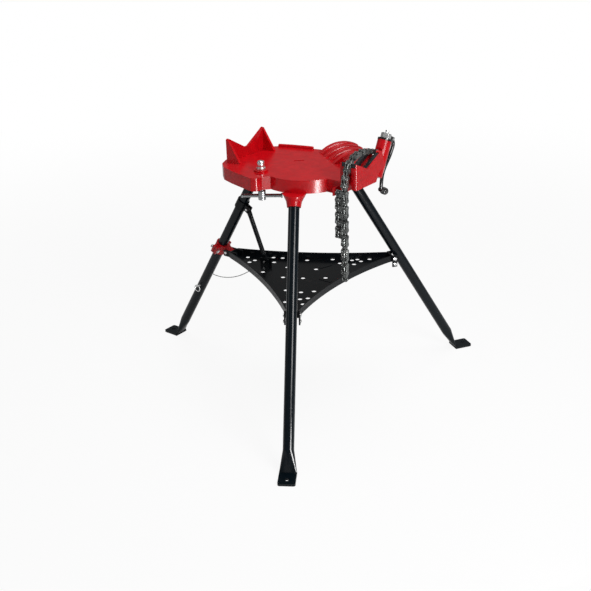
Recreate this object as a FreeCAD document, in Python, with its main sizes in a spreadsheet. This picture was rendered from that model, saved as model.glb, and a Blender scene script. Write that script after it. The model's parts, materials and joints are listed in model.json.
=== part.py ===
import FreeCAD, Part
import math
import os

# Folding tripod stand with a chain vise for pipe.
# +X runs along the pipe from the pipe rest to the vise, +Z is up.
# The origin lies on the floor on the axis of the three feet.

V = FreeCAD.Vector
doc = FreeCAD.newDocument("pipe_stand")
sheet = doc.addObject("Spreadsheet::Sheet", "Sizes")

SIZES = {
    # table casting
    "top_z": 786, "skirt_deep": 43, "plate_thick": 9, "wall_thick": 9,
    "disc_x": 30, "disc_rad": 143, "tail_x": 245, "edge_round": 14,
    "lip_high": 14, "lip_thick": 10, "slot_long": 34, "slot_wide": 7,
    # pipe rest
    "rest_x": 226, "rest_thick": 9, "rest_half": 95, "rest_high": 78,
    "rest_vee_z": 817, "gusset_long": 48,
    # vise block and jaws
    "vee_z": 820, "vee_slope": 25, "block_near": 62, "front_x": 270,
    "plate_x": 4, "jaw_x": 14, "channel_x": 24, "jaw_thick": 13,
    "block_low": 765, "tooth": 6, "tooth_deep": 2.4, "saddle_rad": 7,
    # column, screw and crank
    "column_rad": 23, "column_lean": 28, "column_top_y": 143,
    "column_rise": 51, "column_x": 240, "column_long": 118,
    "screw_rad": 9, "nut_rad": 17, "nut_high": 18, "hub_reach": 31,
    "arm_reach": 58, "arm_long": 162.3, "arm_rad": 6, "knob_rad": 12,
    "knob_reach": 34, "pivot_rad": 4,
    # pipe bender
    "shoe_rad": 116, "shoe_rise": 32, "shoe_x": 75, "shoe_y": 179, "shoe_end": 57,
    "shoe_turn": -34.4, "ridge_wide": 17, "groove_rad": 14, "shoe_core": 73,
    # legs
    "splay": 0.6, "leg_rad": 17.5, "leg_wall": 3, "leg_turn": 57.5,
    "mouth_r": 190.4, "foot_bend_z": 68, "leg_end_z": 732, "mouth_z": 709,
    "mouth_rad": 22, "throat_rad": 25, "throat_z": 725, "flare_rad": 41,
    "flare_z": 752, "foot_wide": 55, "foot_thick": 8, "foot_in": 27,
    "foot_out": 93, "foot_hole": 7, "foot_hole_at": 69,
    # tray
    "tray_z": 399, "tray_sheet": 2.5, "tray_rim": 22, "tray_back_gap": 65,
    "tray_back_half": 24, "tray_side_sag": 24, "tray_front_sag": 36,
    "hole_rad": 7.5, "hinge_gap": 45, "hinge_z": 413, "strut_gap": 169,
    "strut_rad": 8, "strut_top_gap": 35.6, "strut_top_z": 592,
    "clip_gap": 3, "clip_thick": 5, "lug_long": 18.2, "collar_wall": 6, "collar_high": 40,
    # brace screw
    "brace_x": -66, "brace_y": -112, "boss_rad": 23, "brace_rad": 8.5,
    "nose_rad": 12, "nose_top": 821, "brace_low": 690, "tee_z": 703, "tee_long": 124,
    "tee_rad": 6, "tee_turn": 34,
    # chain
    "pitch": 24, "link_high": 17, "link_thick": 3.4, "pin_rad": 3.6,
    "link_gap": 0.3, "chain_start_y": 84, "chain_rise": 30,
    "strand_x": 214, "strand_y": -76, "strand_z": 755,
    "run_fit": 0.05,
}
for row, word in enumerate(SIZES, start=1):
    sheet.set("A%d" % row, word)
    sheet.set("B%d" % row, str(SIZES[word]))
    sheet.setAlias("B%d" % row, word)
doc.recompute()


class Dim:
    """A size with both its number and the expression that drives it."""

    def __init__(self, num, text=None):
        self.num = float(num)
        self.text = text if text is not None else repr(float(num))

    def join(self, other, sign, num):
        return Dim(num, "(%s %s %s)" % (self.text, sign, other.text))

    def __add__(self, other):
        other = dim(other)
        return self.join(other, "+", self.num + other.num)

    def __sub__(self, other):
        other = dim(other)
        return self.join(other, "-", self.num - other.num)

    def __mul__(self, other):
        other = dim(other)
        return self.join(other, "*", self.num * other.num)

    def __truediv__(self, other):
        other = dim(other)
        return self.join(other, "/", self.num / other.num)

    def __neg__(self):
        return Dim(-self.num, "(0 - %s)" % self.text)

    __radd__ = __add__
    __rmul__ = __mul__

    def __rsub__(self, other):
        return dim(other) - self


def dim(thing):
    return thing if isinstance(thing, Dim) else Dim(thing)


def D(word):
    return Dim(sheet.get(word), "Sizes." + word)


def N(word):
    return float(sheet.get(word))


def tan(angle):
    return Dim(math.tan(math.radians(angle.num)), "tan(%s)" % angle.text)


def bind(obj, prop, amount):
    amount = dim(amount)
    obj.setExpression(prop, amount.text)


# ---------------------------------------------------------------- drawing kit

def new_body(label):
    b = doc.addObject("PartDesign::Body", label)
    b.Label = label
    return b


def new_sketch(b, role, shift=0):
    sk = b.newObject("Sketcher::SketchObject", b.Name + "_sketch")
    plane = [f for f in b.Origin.OriginFeatures if f.Role == role][0]
    sk.AttachmentSupport = (plane, [""])
    sk.MapMode = "FlatFace"
    shift = dim(shift)
    sk.AttachmentOffset = FreeCAD.Placement(V(0, 0, shift.num), FreeCAD.Rotation())
    bind(sk, "AttachmentOffset.Base.z", shift)
    return sk


def hold(sk, kind, geo, pos, amount):
    """Add a driving distance and bind it to the sheet."""
    amount = dim(amount)
    at = sk.addConstraint(make_constraint(kind, geo, pos, amount.num))
    sk.setExpression("Constraints[%d]" % at, amount.text)


def make_constraint(kind, geo, pos, num):
    import Sketcher
    if kind == "Radius":
        return Sketcher.Constraint("Radius", geo, num)
    return Sketcher.Constraint(kind, geo, pos, num)


def draw_poly(sk, points):
    import Sketcher
    points = [(dim(a), dim(b)) for a, b in points]
    count = len(points)
    first = sk.GeometryCount
    for i in range(count):
        a = points[i]
        b = points[(i + 1) % count]
        sk.addGeometry(Part.LineSegment(V(a[0].num, a[1].num, 0), V(b[0].num, b[1].num, 0)), False)
    for i in range(count):
        sk.addConstraint(Sketcher.Constraint("Coincident", first + i, 2, first + (i + 1) % count, 1))
    for i in range(count):
        hold(sk, "DistanceX", first + i, 1, points[i][0])
        hold(sk, "DistanceY", first + i, 1, points[i][1])


def draw_circle(sk, x, y, rad):
    x, y, rad = dim(x), dim(y), dim(rad)
    geo = sk.addGeometry(Part.Circle(V(x.num, y.num, 0), V(0, 0, 1), rad.num), False)
    hold(sk, "Radius", geo, 0, rad)
    hold(sk, "DistanceX", geo, 3, x)
    hold(sk, "DistanceY", geo, 3, y)


def pad(b, sk, length, reverse=False, middle=False):
    f = b.newObject("PartDesign::Pad", b.Name + "_pad")
    f.Profile = sk
    f.Midplane = middle
    f.Reversed = reverse
    bind(f, "Length", length)
    doc.recompute()
    return f


def pocket(b, sk, length, reverse=False, middle=False):
    before = b.Shape.Volume
    f = b.newObject("PartDesign::Pocket", b.Name + "_pocket")
    f.Profile = sk
    f.Midplane = middle
    f.Reversed = reverse
    bind(f, "Length", length)
    doc.recompute()
    if b.Shape.Volume > before - 1:
        raise RuntimeError("nothing was cut in " + b.Label)
    return f


def round_edges(b, radius, wanted):
    """Round the edges of the body's last feature for which wanted(edge) is true."""
    tip = b.Tip
    names = ["Edge%d" % (i + 1) for i, e in enumerate(tip.Shape.Edges) if wanted(e)]
    f = b.newObject("PartDesign::Fillet", b.Name + "_round")
    f.Base = (tip, names)
    bind(f, "Radius", radius)
    doc.recompute()
    return f


def upright(e):
    a, z = e.Vertexes[0].Point, e.Vertexes[-1].Point
    return len(e.Vertexes) == 2 and abs(a.x - z.x) + abs(a.y - z.y) < 1e-6


def place(obj, at, axis=None):
    """Put an object's own origin at a point, with its Z turned to an axis."""
    turn = FreeCAD.Rotation(V(0, 0, 1), V(*axis)) if axis else FreeCAD.Rotation()
    obj.Placement = FreeCAD.Placement(V(*at), turn)
    return obj


def cylinder(name, rad, high, at, axis=None):
    c = doc.addObject("Part::Cylinder", name)
    bind(c, "Radius", rad)
    bind(c, "Height", high)
    return place(c, at, axis)


def cone(name, rad1, rad2, high, at, axis=None):
    c = doc.addObject("Part::Cone", name)
    bind(c, "Radius1", rad1)
    bind(c, "Radius2", rad2)
    bind(c, "Height", high)
    return place(c, at, axis)


def box(name, length, width, high, at, turn=0):
    c = doc.addObject("Part::Box", name)
    bind(c, "Length", length)
    bind(c, "Width", width)
    bind(c, "Height", high)
    c.Placement = FreeCAD.Placement(V(*at), FreeCAD.Rotation(V(0, 0, 1), turn))
    return c


def torus(name, rad1, rad2, at, axis):
    c = doc.addObject("Part::Torus", name)
    bind(c, "Radius1", rad1)
    bind(c, "Radius2", rad2)
    return place(c, at, axis)


def fuse(name, things):
    if len(things) == 1:
        return things[0]
    f = doc.addObject("Part::MultiFuse", name)
    f.Shapes = things
    f.Refine = True
    return f


def cut(name, base, tools):
    f = doc.addObject("Part::Cut", name)
    f.Base = base
    f.Tool = fuse(name + "_tools", tools)
    return f


def feature(label, shape):
    f = doc.addObject("Part::Feature", label)
    f.Shape = shape
    return f


NODES = []


def keep(obj, label):
    obj.Label = label
    NODES.append(obj)
    return obj


# -------------------------------------------------------------- leg geometry

TOP = N("top_z")
LEAN = math.hypot(N("splay"), 1)
LEG_UP = V(-N("splay") / LEAN, 0, 1 / LEAN)


def leg_r(z):
    """Distance of a leg's axis from the tripod axis at a height."""
    return N("mouth_r") + (N("mouth_z") - z) * N("splay")


FOOT_R = D("mouth_r") + (D("mouth_z") - D("foot_bend_z")) * D("splay")
HINGE_X = leg_r(N("hinge_z")) - N("hinge_gap")
STRUT_X = HINGE_X - N("strut_gap")


def turned(v, deg):
    return FreeCAD.Rotation(V(0, 0, 1), deg).multVec(v)


ANGLES = {"front_leg_left": N("leg_turn"), "front_leg_right": -N("leg_turn"), "rear_leg": 180.0}

# ------------------------------------------------------------- table casting

HALF = [(-245, 78), (-228, 117), (-196, 146), (-150, 163), (-96, 178), (-46, 190),
        (-29, 184), (-24, 160), (-6, 139)]
INSET = [(-236, 76), (-220, 112), (-191, 138), (-147, 154), (-94, 169), (-47, 180),
         (-37, 177), (-33, 157), (-16, 131)]
TAIL = D("tail_x") / 245


def mirrored(half, inner_x):
    pts = [(TAIL * a, dim(b)) for a, b in half]
    pts.append((dim(inner_x), pts[-1][1]))
    low = [(a, -b) for a, b in reversed(pts)]
    return pts + low


block_back = D("front_x") - 2 * D("plate_x") - 2 * D("jaw_x") - D("channel_x")
table = new_body("table_plate")
sk = new_sketch(table, "XY_Plane", D("top_z") - D("skirt_deep"))
draw_poly(sk, mirrored(HALF, 60))
pad(table, sk, D("skirt_deep"))
round_edges(table, D("edge_round"), lambda e: upright(e) and e.Vertexes[0].X < -25)
sk = new_sketch(table, "XY_Plane", D("top_z") - D("skirt_deep"))
draw_circle(sk, D("disc_x"), 0, D("disc_rad"))
pad(table, sk, D("skirt_deep"))
sk = new_sketch(table, "XY_Plane", D("top_z") - D("skirt_deep"))
draw_poly(sk, [(120, -D("block_near")), (block_back + 2, -D("block_near")),
               (block_back + 2, 56), (170, 84), (120, 100)])
pad(table, sk, D("skirt_deep"))
hollow = D("skirt_deep") - D("plate_thick")
sk = new_sketch(table, "XY_Plane", D("top_z") - D("skirt_deep"))
draw_poly(sk, mirrored(INSET, 60))
pocket(table, sk, hollow, reverse=True)
sk = new_sketch(table, "XY_Plane", D("top_z") - D("skirt_deep"))
draw_circle(sk, D("disc_x"), 0, D("disc_rad") - D("wall_thick"))
pocket(table, sk, hollow, reverse=True)

# the raised lip along the far edge
lip = new_body("table_lip")
sk = new_sketch(lip, "XY_Plane", D("top_z") - 5)
draw_poly(sk, [(-196, 146), (-150, 163), (-96, 178), (-70, 183.5), (-70, 183.5 - D("lip_thick")),
               (-96, 178 - D("lip_thick")), (-150, 163 - D("lip_thick")),
               (-192, 147 - D("lip_thick"))])
pad(lip, sk, D("lip_high") + 5)
round_edges(lip, 4, lambda e: upright(e) and e.Vertexes[0].X > -71)

# two ribs under the plate
ribs = [box("rib_long", 340, 8, hollow + 1, (-235, -4, TOP - N("skirt_deep") + 2)),
        box("rib_cross", 8, 300, hollow + 1, (-60, -150, TOP - N("skirt_deep") + 2))]

# the pipe rest: a wall with a wide vee and a gusset at each end
rest = new_body("pipe_rest_wall")
sk = new_sketch(rest, "YZ_Plane", -D("rest_x"))
base_z = D("top_z") - 4
peak = D("top_z") + D("rest_high")
half = D("rest_half")
draw_poly(sk, [(-half, base_z), (half, base_z), (half, peak - 3), (half - 6, peak),
               (7, D("rest_vee_z")), (-7, D("rest_vee_z")), (6 - half, peak), (-half, peak - 3)])
pad(rest, sk, D("rest_thick"))
gussets = []
for side in (-1, 1):
    g = new_body("gusset_near" if side < 0 else "gusset_far")
    edge = D("rest_half") if side < 0 else -(D("rest_half") - D("rest_thick"))
    sk = new_sketch(g, "XZ_Plane", edge)
    start = -D("rest_x") + 2
    draw_poly(sk, [(start, base_z), (start + D("gusset_long") + 5, base_z),
                   (start + D("gusset_long") + 5, base_z + 7), (start + 8, peak - 6),
                   (start, peak - 6)])
    pad(g, sk, D("rest_thick"), reverse=True)
    gussets.append(g)

# the vise block: one profile across the pipe, drawn through the vee
slope = tan(D("vee_slope"))
block = new_body("vise_block")
sk = new_sketch(block, "YZ_Plane", block_back)
near = D("block_near")
low = D("block_low")
draw_poly(sk, [(-near, low), (50, low - 1), (64, 790), (100, 806), (80, D("vee_z") + 80 * slope),
               (0, D("vee_z")), (-near, D("vee_z") + near * slope)])
pad(block, sk, D("front_x") - block_back)
round_edges(block, 8, lambda e: len(e.Vertexes) == 2 and abs(e.Vertexes[0].Y + N("block_near")) < 0.01
            and abs(e.Vertexes[1].Y + N("block_near")) < 0.01
            and abs(e.Vertexes[0].X - N("front_x")) < 0.01
            and abs(e.Vertexes[1].X - N("front_x")) < 0.01)
# the skirt of the table runs down behind the block
# the ledges that the jaws sit on
sk = new_sketch(block, "YZ_Plane", block_back + D("plate_x"))
drop = D("jaw_thick")
draw_poly(sk, [(-near - 5, D("vee_z") - drop + (near + 5) * slope), (0, D("vee_z") - drop),
               (73, D("vee_z") - drop + 73 * slope), (73, 900), (-near - 5, 900)])
pocket(block, sk, 2 * D("jaw_x") + D("channel_x"), reverse=True)
# the chain channel between the jaws, open on the near side and below
sk = new_sketch(block, "YZ_Plane", block_back + D("plate_x") + D("jaw_x"))
draw_poly(sk, [(-near - 5, low - 9), (-25, low - 9), (-25, D("vee_z") - 16), (-19, D("vee_z") - 7),
               (-8, D("vee_z") - 3), (0, D("vee_z") - 4), (45, D("vee_z") + 15),
               (110, D("vee_z") + 17), (110, 900), (-near - 5, 900)])
pocket(block, sk, D("channel_x"), reverse=True)
# the hollow under the block
sk = new_sketch(block, "XY_Plane", low - 9)
draw_poly(sk, [(block_back + 9, -8), (D("front_x") - 9, -8), (D("front_x") - 9, 46),
               (block_back + 9, 46)])
pocket(block, sk, 43, reverse=True)

# the slanted column that carries the chain screw
lean = math.radians(N("column_lean"))
UP = V(0, math.sin(lean), math.cos(lean))
OUT = V(0, math.cos(lean), -math.sin(lean))
COL = V(N("column_x"), N("column_top_y"), N("vee_z") + N("column_rise"))


def col(up, out=0.0, x=0.0):
    """A point by its height above the column's top, its reach outward and its x."""
    p = COL + UP * up + OUT * out
    return (p.x + x, p.y, p.z)


column = cylinder("column", D("column_rad"), D("column_long"), col(-N("column_long")), tuple(UP))

# the bender: an arched shoe with three grooves
turn = math.radians(N("shoe_turn"))
ACROSS = V(math.cos(turn), math.sin(turn), 0)
ALONG = V(-math.sin(turn), math.cos(turn), 0)
shoe_at = V(N("shoe_x"), N("shoe_y"), TOP + N("shoe_rise") - N("shoe_rad"))
shoe_wide = 4 * D("ridge_wide") + 6 * D("groove_rad") - 6
start = shoe_at - ACROSS * (shoe_wide.num / 2)
arch = cylinder("shoe_arch", D("shoe_rad"), shoe_wide, tuple(start), tuple(ACROSS))
core_start = start + ACROSS * 9
hollows = [cylinder("shoe_core", D("shoe_core"), shoe_wide - 18, tuple(core_start), tuple(ACROSS))]
pace = N("ridge_wide") + 2 * N("groove_rad") - 2
for i in range(3):
    at = shoe_at + ACROSS * (pace * (i - 1))
    hollows.append(torus("shoe_groove_%d" % (i + 1), D("shoe_rad") + 2, D("groove_rad"), tuple(at),
                         tuple(ACROSS)))
hollows.append(box("shoe_under", 500, 500, 200, (N("shoe_x") - 250, N("shoe_y") - 250,
                                                 TOP - N("skirt_deep") - 200)))
# the far end of the shoe is cut off upright
beyond = shoe_at + ALONG * N("shoe_end") - ACROSS * 120
hollows.append(box("shoe_beyond", 240, 200, 300, (beyond.x, beyond.y, TOP - 150), N("shoe_turn")))
# and the inside of the table stays clear
hollows.append(cylinder("shoe_inside", D("disc_rad") - D("wall_thick"),
                        D("skirt_deep") - D("plate_thick") + 1,
                        (N("disc_x"), 0, TOP - N("skirt_deep") - 1)))
shoe = cut("bender_shoe", arch, hollows)

# sockets that flare up into the skirt
sockets = []
bores = []
for name, deg in ANGLES.items():
    mouth = turned(V(leg_r(N("mouth_z")), 0, N("mouth_z")), deg)
    axis = tuple(turned(LEG_UP, deg))
    low_rise = (D("throat_z") - D("mouth_z")) * LEAN
    sockets.append(cone(name + "_throat", D("mouth_rad"), D("throat_rad"), low_rise, tuple(mouth), axis))
    rise = (D("flare_z") - D("throat_z")) * LEAN
    throat = mouth + turned(LEG_UP, deg) * low_rise.num
    sockets.append(cone(name + "_flare", D("throat_rad"), D("flare_rad"), rise, tuple(throat), axis))
    neck = D("leg_end_z") + 22 - D("mouth_z")
    sockets.append(cylinder(name + "_socket", D("mouth_rad"), neck * LEAN, tuple(mouth), axis))
    depth = (D("leg_end_z") - D("mouth_z")) * LEAN + 1
    below = mouth - turned(LEG_UP, deg)
    bores.append(cylinder(name + "_bore", D("leg_rad"), depth, tuple(below), axis))
socket_mass = fuse("socket_mass", sockets)
# they stop at the foot of the round skirt where they stand out beyond it
beyond_skirt = cut("beyond_skirt", box("skirt_ring", 300, 600, 80, (20, -300, TOP - N("skirt_deep") + 3)),
                   [cylinder("skirt_round", D("disc_rad") - 1, 90,
                             (N("disc_x"), 0, TOP - N("skirt_deep")))])
socket_trim = cut("socket_trim", socket_mass,
                  [box("above_table", 600, 600, 100, (-300, -300, TOP - 4)), beyond_skirt])

# the boss of the ceiling brace
boss = cylinder("brace_boss", D("boss_rad"), D("skirt_deep") + 3,
                (N("brace_x"), N("brace_y"), TOP - N("skirt_deep") + 3))
brace_bore = cylinder("brace_bore", D("brace_rad") + D("run_fit"), 80,
                      (N("brace_x"), N("brace_y"), TOP - 60))
slot = box("table_slot", D("slot_long"), D("slot_wide"), 30,
           (-43, 31, TOP - 20), 41)
slot2 = box("edge_slot", 26, D("slot_wide"), 30, (-62, -152, TOP - 20), 12)
screw_bore = cylinder("screw_bore", D("screw_rad") + D("run_fit"), 92, col(-90), tuple(UP))
middle_x = N("front_x") - N("plate_x") - N("jaw_x") - N("channel_x") / 2
chain_mouth = box("chain_mouth", D("channel_x"), 40, 30,
                  (middle_x - N("channel_x") / 2, 70, N("vee_z") + 17))
keeper_bore = cylinder("keeper_bore", D("pin_rad"), 20,
                       (N("strand_x") - 28, N("strand_y"), N("strand_z")), (1, 0, 0))
# an ear holds the keeper pin below the near end of the block
ear = box("keeper_ear", 6, 26, 25,
          (N("strand_x") - 18.5, -N("block_near") - 22, TOP - N("skirt_deep")))
# a round bar across the near end of the channel, which the chain bends over
saddle_bar = cylinder("chain_saddle", D("saddle_rad"), D("channel_x"),
                      (middle_x - N("channel_x") / 2, -50.7, N("vee_z") + 9.1), (1, 0, 0))

mass = fuse("casting_mass", [table, lip, rest, block, column, shoe, socket_trim, boss, ear]
            + gussets + ribs)
whole = cut("casting_cut", mass, bores + [brace_bore, slot, slot2, screw_bore, keeper_bore, chain_mouth])
keep(fuse("casting", [whole, saddle_bar]), "head_casting")

# ---------------------------------------------------------------------- jaws

def jaw(label, x_start):
    b = new_body(label)
    sk = new_sketch(b, "YZ_Plane", x_start)
    reach = N("block_near") - 2
    pts = [(-dim(reach), D("vee_z") - D("jaw_thick") + reach * slope), (dim(0), D("vee_z") - D("jaw_thick")),
           (dim(70), D("vee_z") - D("jaw_thick") + 70 * slope)]
    right = []
    count = int(66 / N("tooth"))
    for i in range(count, 0, -1):
        y = i * N("tooth") + 1
        right.append((dim(y), D("vee_z") + 2 + y * slope - (0 if i % 2 else D("tooth_deep"))))
    left = []
    count = int((reach - 3) / N("tooth"))
    for i in range(1, count + 1):
        y = i * N("tooth") + 1
        left.append((dim(-y), D("vee_z") + 2 + y * slope - (0 if i % 2 else D("tooth_deep"))))
    pts += [(dim(70), D("vee_z") + 70 * slope)] + right + [(dim(0), D("vee_z"))] + left
    pts += [(-dim(reach), D("vee_z") + reach * slope)]
    draw_poly(sk, pts)
    pad(b, sk, D("jaw_x"))
    return b


rear_jaw_x = block_back + D("plate_x")
front_jaw_x = D("front_x") - D("plate_x") - D("jaw_x")
keep(jaw("rear_jaw_body", rear_jaw_x), "vise_jaw_rear")
keep(jaw("front_jaw_body", front_jaw_x), "vise_jaw_front")

# -------------------------------------------------------------- chain screw

screw_shape = [cylinder("screw_shank", D("screw_rad"), 60, col(-62), tuple(UP)),
               cylinder("screw_tip", D("screw_rad") - 3, 37, col(-3), tuple(UP))]
keep(fuse("screw_mass", screw_shape), "chain_screw")

# the crank head: a flange over the column and two ears for the handle
head = new_body("crank_head_body")
sk = new_sketch(head, "XY_Plane", 0)
draw_circle(sk, 0, 0, D("column_rad") + 1)
pad(head, sk, 6)
for side in (-1, 1):
    sk = new_sketch(head, "XY_Plane", 0)
    ear_out = D("hub_reach") + 6
    draw_poly(sk, [(side * 5, 18), (side * 11.5, 18), (side * 11.5, ear_out), (side * 5, ear_out)])
    pad(head, sk, 21)
sk = new_sketch(head, "YZ_Plane", 0)
draw_circle(sk, D("hub_reach"), 14, D("pivot_rad"))
pocket(head, sk, 40, middle=True)
sk = new_sketch(head, "XY_Plane", 0)
draw_circle(sk, 0, 0, D("screw_rad") - 3 + D("run_fit"))
pocket(head, sk, 60, middle=True)
# the six-sided nut on top of it
nut = new_body("crank_nut_body")
sk = new_sketch(nut, "XY_Plane", 6)
hexagon = []
for i in range(6):
    a = math.radians(60 * i + 30)
    hexagon.append((D("nut_rad") * math.cos(a), D("nut_rad") * math.sin(a)))
draw_poly(sk, hexagon)
pad(nut, sk, D("nut_high"))
sk = new_sketch(nut, "XY_Plane", 0)
draw_circle(sk, 0, 0, D("screw_rad") - 3 + D("run_fit"))
pocket(nut, sk, 60, middle=True)
frame_turn = FreeCAD.Rotation(V(1, 0, 0), OUT, UP, "ZXY")
head.Placement = FreeCAD.Placement(COL + UP * 0.3, frame_turn)
keep(head, "crank_head")
nut.Placement = FreeCAD.Placement(COL + UP * 0.3, frame_turn)
keep(nut, "crank_nut")

pivot_at = 14.3
keep(cylinder("crank_pivot_rod", D("pivot_rad"), 25, col(pivot_at, N("hub_reach"), -12.5), (1, 0, 0)),
     "crank_pivot")

# the drop handle: an eye, a bent arm and a stub for the knob
reach = N("arm_reach")
hub = N("hub_reach")
drop = pivot_at - N("arm_long")
# the arm leaves the fork, turns down beside the column and swings out again to the knob
bends = [(hub, 14.3), (hub + 15, 13.5), (hub + 24, 5), (hub + 26, -14), (hub + 21, -46),
         (hub + 12, -80), (hub + 11.5, -104), (hub + 19, -130), (reach, drop)]
line = Part.BSplineCurve()
line.interpolate([V(0, a, b) for a, b in bends])
spine = Part.Wire([line.toShape()])
ring = Part.Wire([Part.makeCircle(N("arm_rad"), V(0, hub, 14.3), line.tangent(0)[0])])
arm = spine.makePipeShell([ring], True, False)
eye = Part.makeCylinder(9, 9.4, V(-4.7, hub, pivot_at), V(1, 0, 0))
foot = Part.makeCylinder(8, 14, V(0, reach - 5, drop), V(0, 1, 0))
stub = Part.makeCylinder(4, N("knob_reach") - 4, V(0, reach, drop), V(0, 1, 0))
slab = Part.makeBox(9.4, 30, 24, V(-4.7, hub - 12, pivot_at - 12))
side = Part.makeBox(40, 30, 40, V(-20, hub - 12, pivot_at - 20)).cut(slab)
side = side.common(Part.makeBox(60, 12 + 11.5, 60, V(-30, hub - 12, pivot_at - 30)))
handle = arm.cut(side).fuse([eye, foot, stub])
handle = handle.cut(Part.makeCylinder(N("pivot_rad") + N("run_fit"), 30, V(-15, hub, pivot_at), V(1, 0, 0)))
handle = handle.removeSplitter()
to_column = FreeCAD.Placement(COL, frame_turn)
arm_node = feature("crank_handle", handle)
arm_node.Placement = to_column
keep(arm_node, "crank_handle")

# the knob turns on the stub
knob = new_body("crank_knob_body")
sk = new_sketch(knob, "XY_Plane", 0)
draw_circle(sk, 0, 0, D("knob_rad"))
pad(knob, sk, D("knob_reach") - 10)
round_edges(knob, 6, lambda e: e.Curve.TypeId == "Part::GeomCircle")
sk = new_sketch(knob, "XY_Plane", 0)
draw_circle(sk, 0, 0, 4 + D("run_fit"))
pocket(knob, sk, D("knob_reach") - 12, reverse=True)
k_at = COL + OUT * (reach + 9.3) + UP * (pivot_at - N("arm_long"))
knob.Placement = FreeCAD.Placement(k_at, FreeCAD.Rotation(V(0, 0, 1), OUT))
keep(knob, "crank_knob")

# --------------------------------------------------------------- brace screw

bx, by = N("brace_x"), N("brace_y")
nose = [cylinder("nose_collar", D("nose_rad") + 3, 7, (bx, by, TOP + 6.3)),
        cylinder("nose_body", D("nose_rad"), D("nose_top") - D("top_z") - 18, (bx, by, TOP + 12)),
        cone("nose_crown", D("nose_rad"), D("nose_rad") - 4, 6, (bx, by, N("nose_top") - 6))]
nose_solid = fuse("nose_mass", nose)
nose_hole = cylinder("nose_hole", 5 + D("run_fit"), 20.3, (bx, by, TOP + 5))
keep(cut("nose_cut", nose_solid, [nose_hole]), "brace_nose")
screw = [cylinder("brace_shank", D("brace_rad"), D("top_z") + 6 - D("brace_low") - 24,
                  (bx, by, N("brace_low") + 24)),
         cylinder("brace_pilot", 5, 19, (bx, by, TOP + 5)),
         cylinder("brace_head", 12.5, 30, (bx, by, N("brace_low")))]
tee_axis = V(math.cos(math.radians(N("tee_turn"))), math.sin(math.radians(N("tee_turn"))), 0)
tee_mid = V(bx, by, N("tee_z"))
tee_hole = cylinder("tee_hole", D("tee_rad") + D("run_fit"), 60, tuple(tee_mid - tee_axis * 30),
                    tuple(tee_axis))
keep(cut("brace_screw_cut", fuse("brace_screw_mass", screw), [tee_hole]), "brace_screw")
keep(cylinder("tee_rod", D("tee_rad"), D("tee_long"), tuple(tee_mid - tee_axis * (N("tee_long") / 2)),
              tuple(tee_axis)), "brace_bar")
ends = []
for sign in (-1, 1):
    at = tee_mid + tee_axis * (sign * N("tee_long") / 2)
    away = tee_axis * sign
    ends.append(cylinder("bar_end_near" if sign < 0 else "bar_end_far", D("tee_rad") + 2, 5,
                         tuple(at), tuple(away)))
caps = doc.addObject("Part::Compound", "bar_end_pair")
caps.Links = ends
keep(caps, "brace_bar_ends")

# ---------------------------------------------------------------------- legs

PIN_Z = 249


def leg(label, deg):
    """A tube with its foot flattened and turned out flat on the floor."""
    bend_at = (FOOT_R.num, 0, N("foot_bend_z"))
    long = (D("leg_end_z") - D("foot_bend_z")) * LEAN
    tube = cylinder(label + "_tube", D("leg_rad"), long, bend_at, tuple(LEG_UP))
    bore = cylinder(label + "_inside", D("leg_rad") - D("leg_wall"), long + 2, bend_at, tuple(LEG_UP))
    ring = doc.addObject("Part::Circle", label + "_ring")
    bind(ring, "Radius", D("leg_rad"))
    place(ring, bend_at, tuple(LEG_UP))
    flat = doc.addObject("Part::Ellipse", label + "_flat")
    bind(flat, "MajorRadius", D("foot_wide") / 2)
    bind(flat, "MinorRadius", D("foot_thick") / 2 + 1)
    across = FreeCAD.Rotation(V(0, 1, 0), LEG_UP, V(0, 0, 1), "XZY")
    flat_at = V(FOOT_R.num + N("foot_in") + 4, 0, N("foot_thick") / 2 + 2)
    flat.Placement = FreeCAD.Placement(flat_at, across)
    flare = doc.addObject("Part::Loft", label + "_flare_out")
    flare.Sections = [ring, flat]
    flare.Solid = True
    plate = new_body(label + "_plate")
    sk = new_sketch(plate, "XY_Plane", 0)
    w = D("foot_wide") / 2
    inside, outside = FOOT_R + D("foot_in"), FOOT_R + D("foot_out")
    draw_poly(sk, [(inside, -w), (outside, -w), (outside, w), (inside, w)])
    pad(plate, sk, D("foot_thick"))
    round_edges(plate, 7, lambda e: upright(e) and e.Vertexes[0].X > outside.num - 1)
    sk = new_sketch(plate, "XY_Plane", 0)
    draw_circle(sk, FOOT_R + D("foot_hole_at"), 0, D("foot_hole"))
    pocket(plate, sk, 30, reverse=True)
    below = box(label + "_below", 200, 200, 50, (FOOT_R.num - 75, -100, -50))
    whole = fuse(label + "_mass", [tube, flare])
    tools = [bore, below]
    if label == "rear_leg":
        tools.append(cylinder("retaining_bore", 4 + D("run_fit"), 80, (leg_r(PIN_Z), -40, PIN_Z), (0, 1, 0)))
    whole = cut(label + "_cut", whole, tools)
    both = fuse(label + "_all", [whole, plate])
    both.Placement = FreeCAD.Placement(V(0, 0, 0), FreeCAD.Rotation(V(0, 0, 1), deg))
    return both


for name, deg in ANGLES.items():
    keep(leg(name, deg), name)

# ---------------------------------------------------------------------- tray

def polar(r, t, deg):
    """A point r from the tripod axis and t to its left, at an angle round it."""
    a = math.radians(deg)
    return (r * math.cos(a) - t * math.sin(a), r * math.sin(a) + t * math.cos(a))


def sagged(p, q, sag):
    """The point halfway from p to q, moved sideways towards the middle of the tray."""
    mx, my = (p[0] + q[0]) / 2, (p[1] + q[1]) / 2
    back = math.hypot(mx, my)
    return (mx - mx / back * sag, my - my / back * sag)


CORNER_R = leg_r(N("tray_z") + N("tray_rim")) - N("leg_rad") * LEAN - N("clip_thick") - 4
CORNER_T = N("leg_rad") + N("clip_gap") - 1


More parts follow.
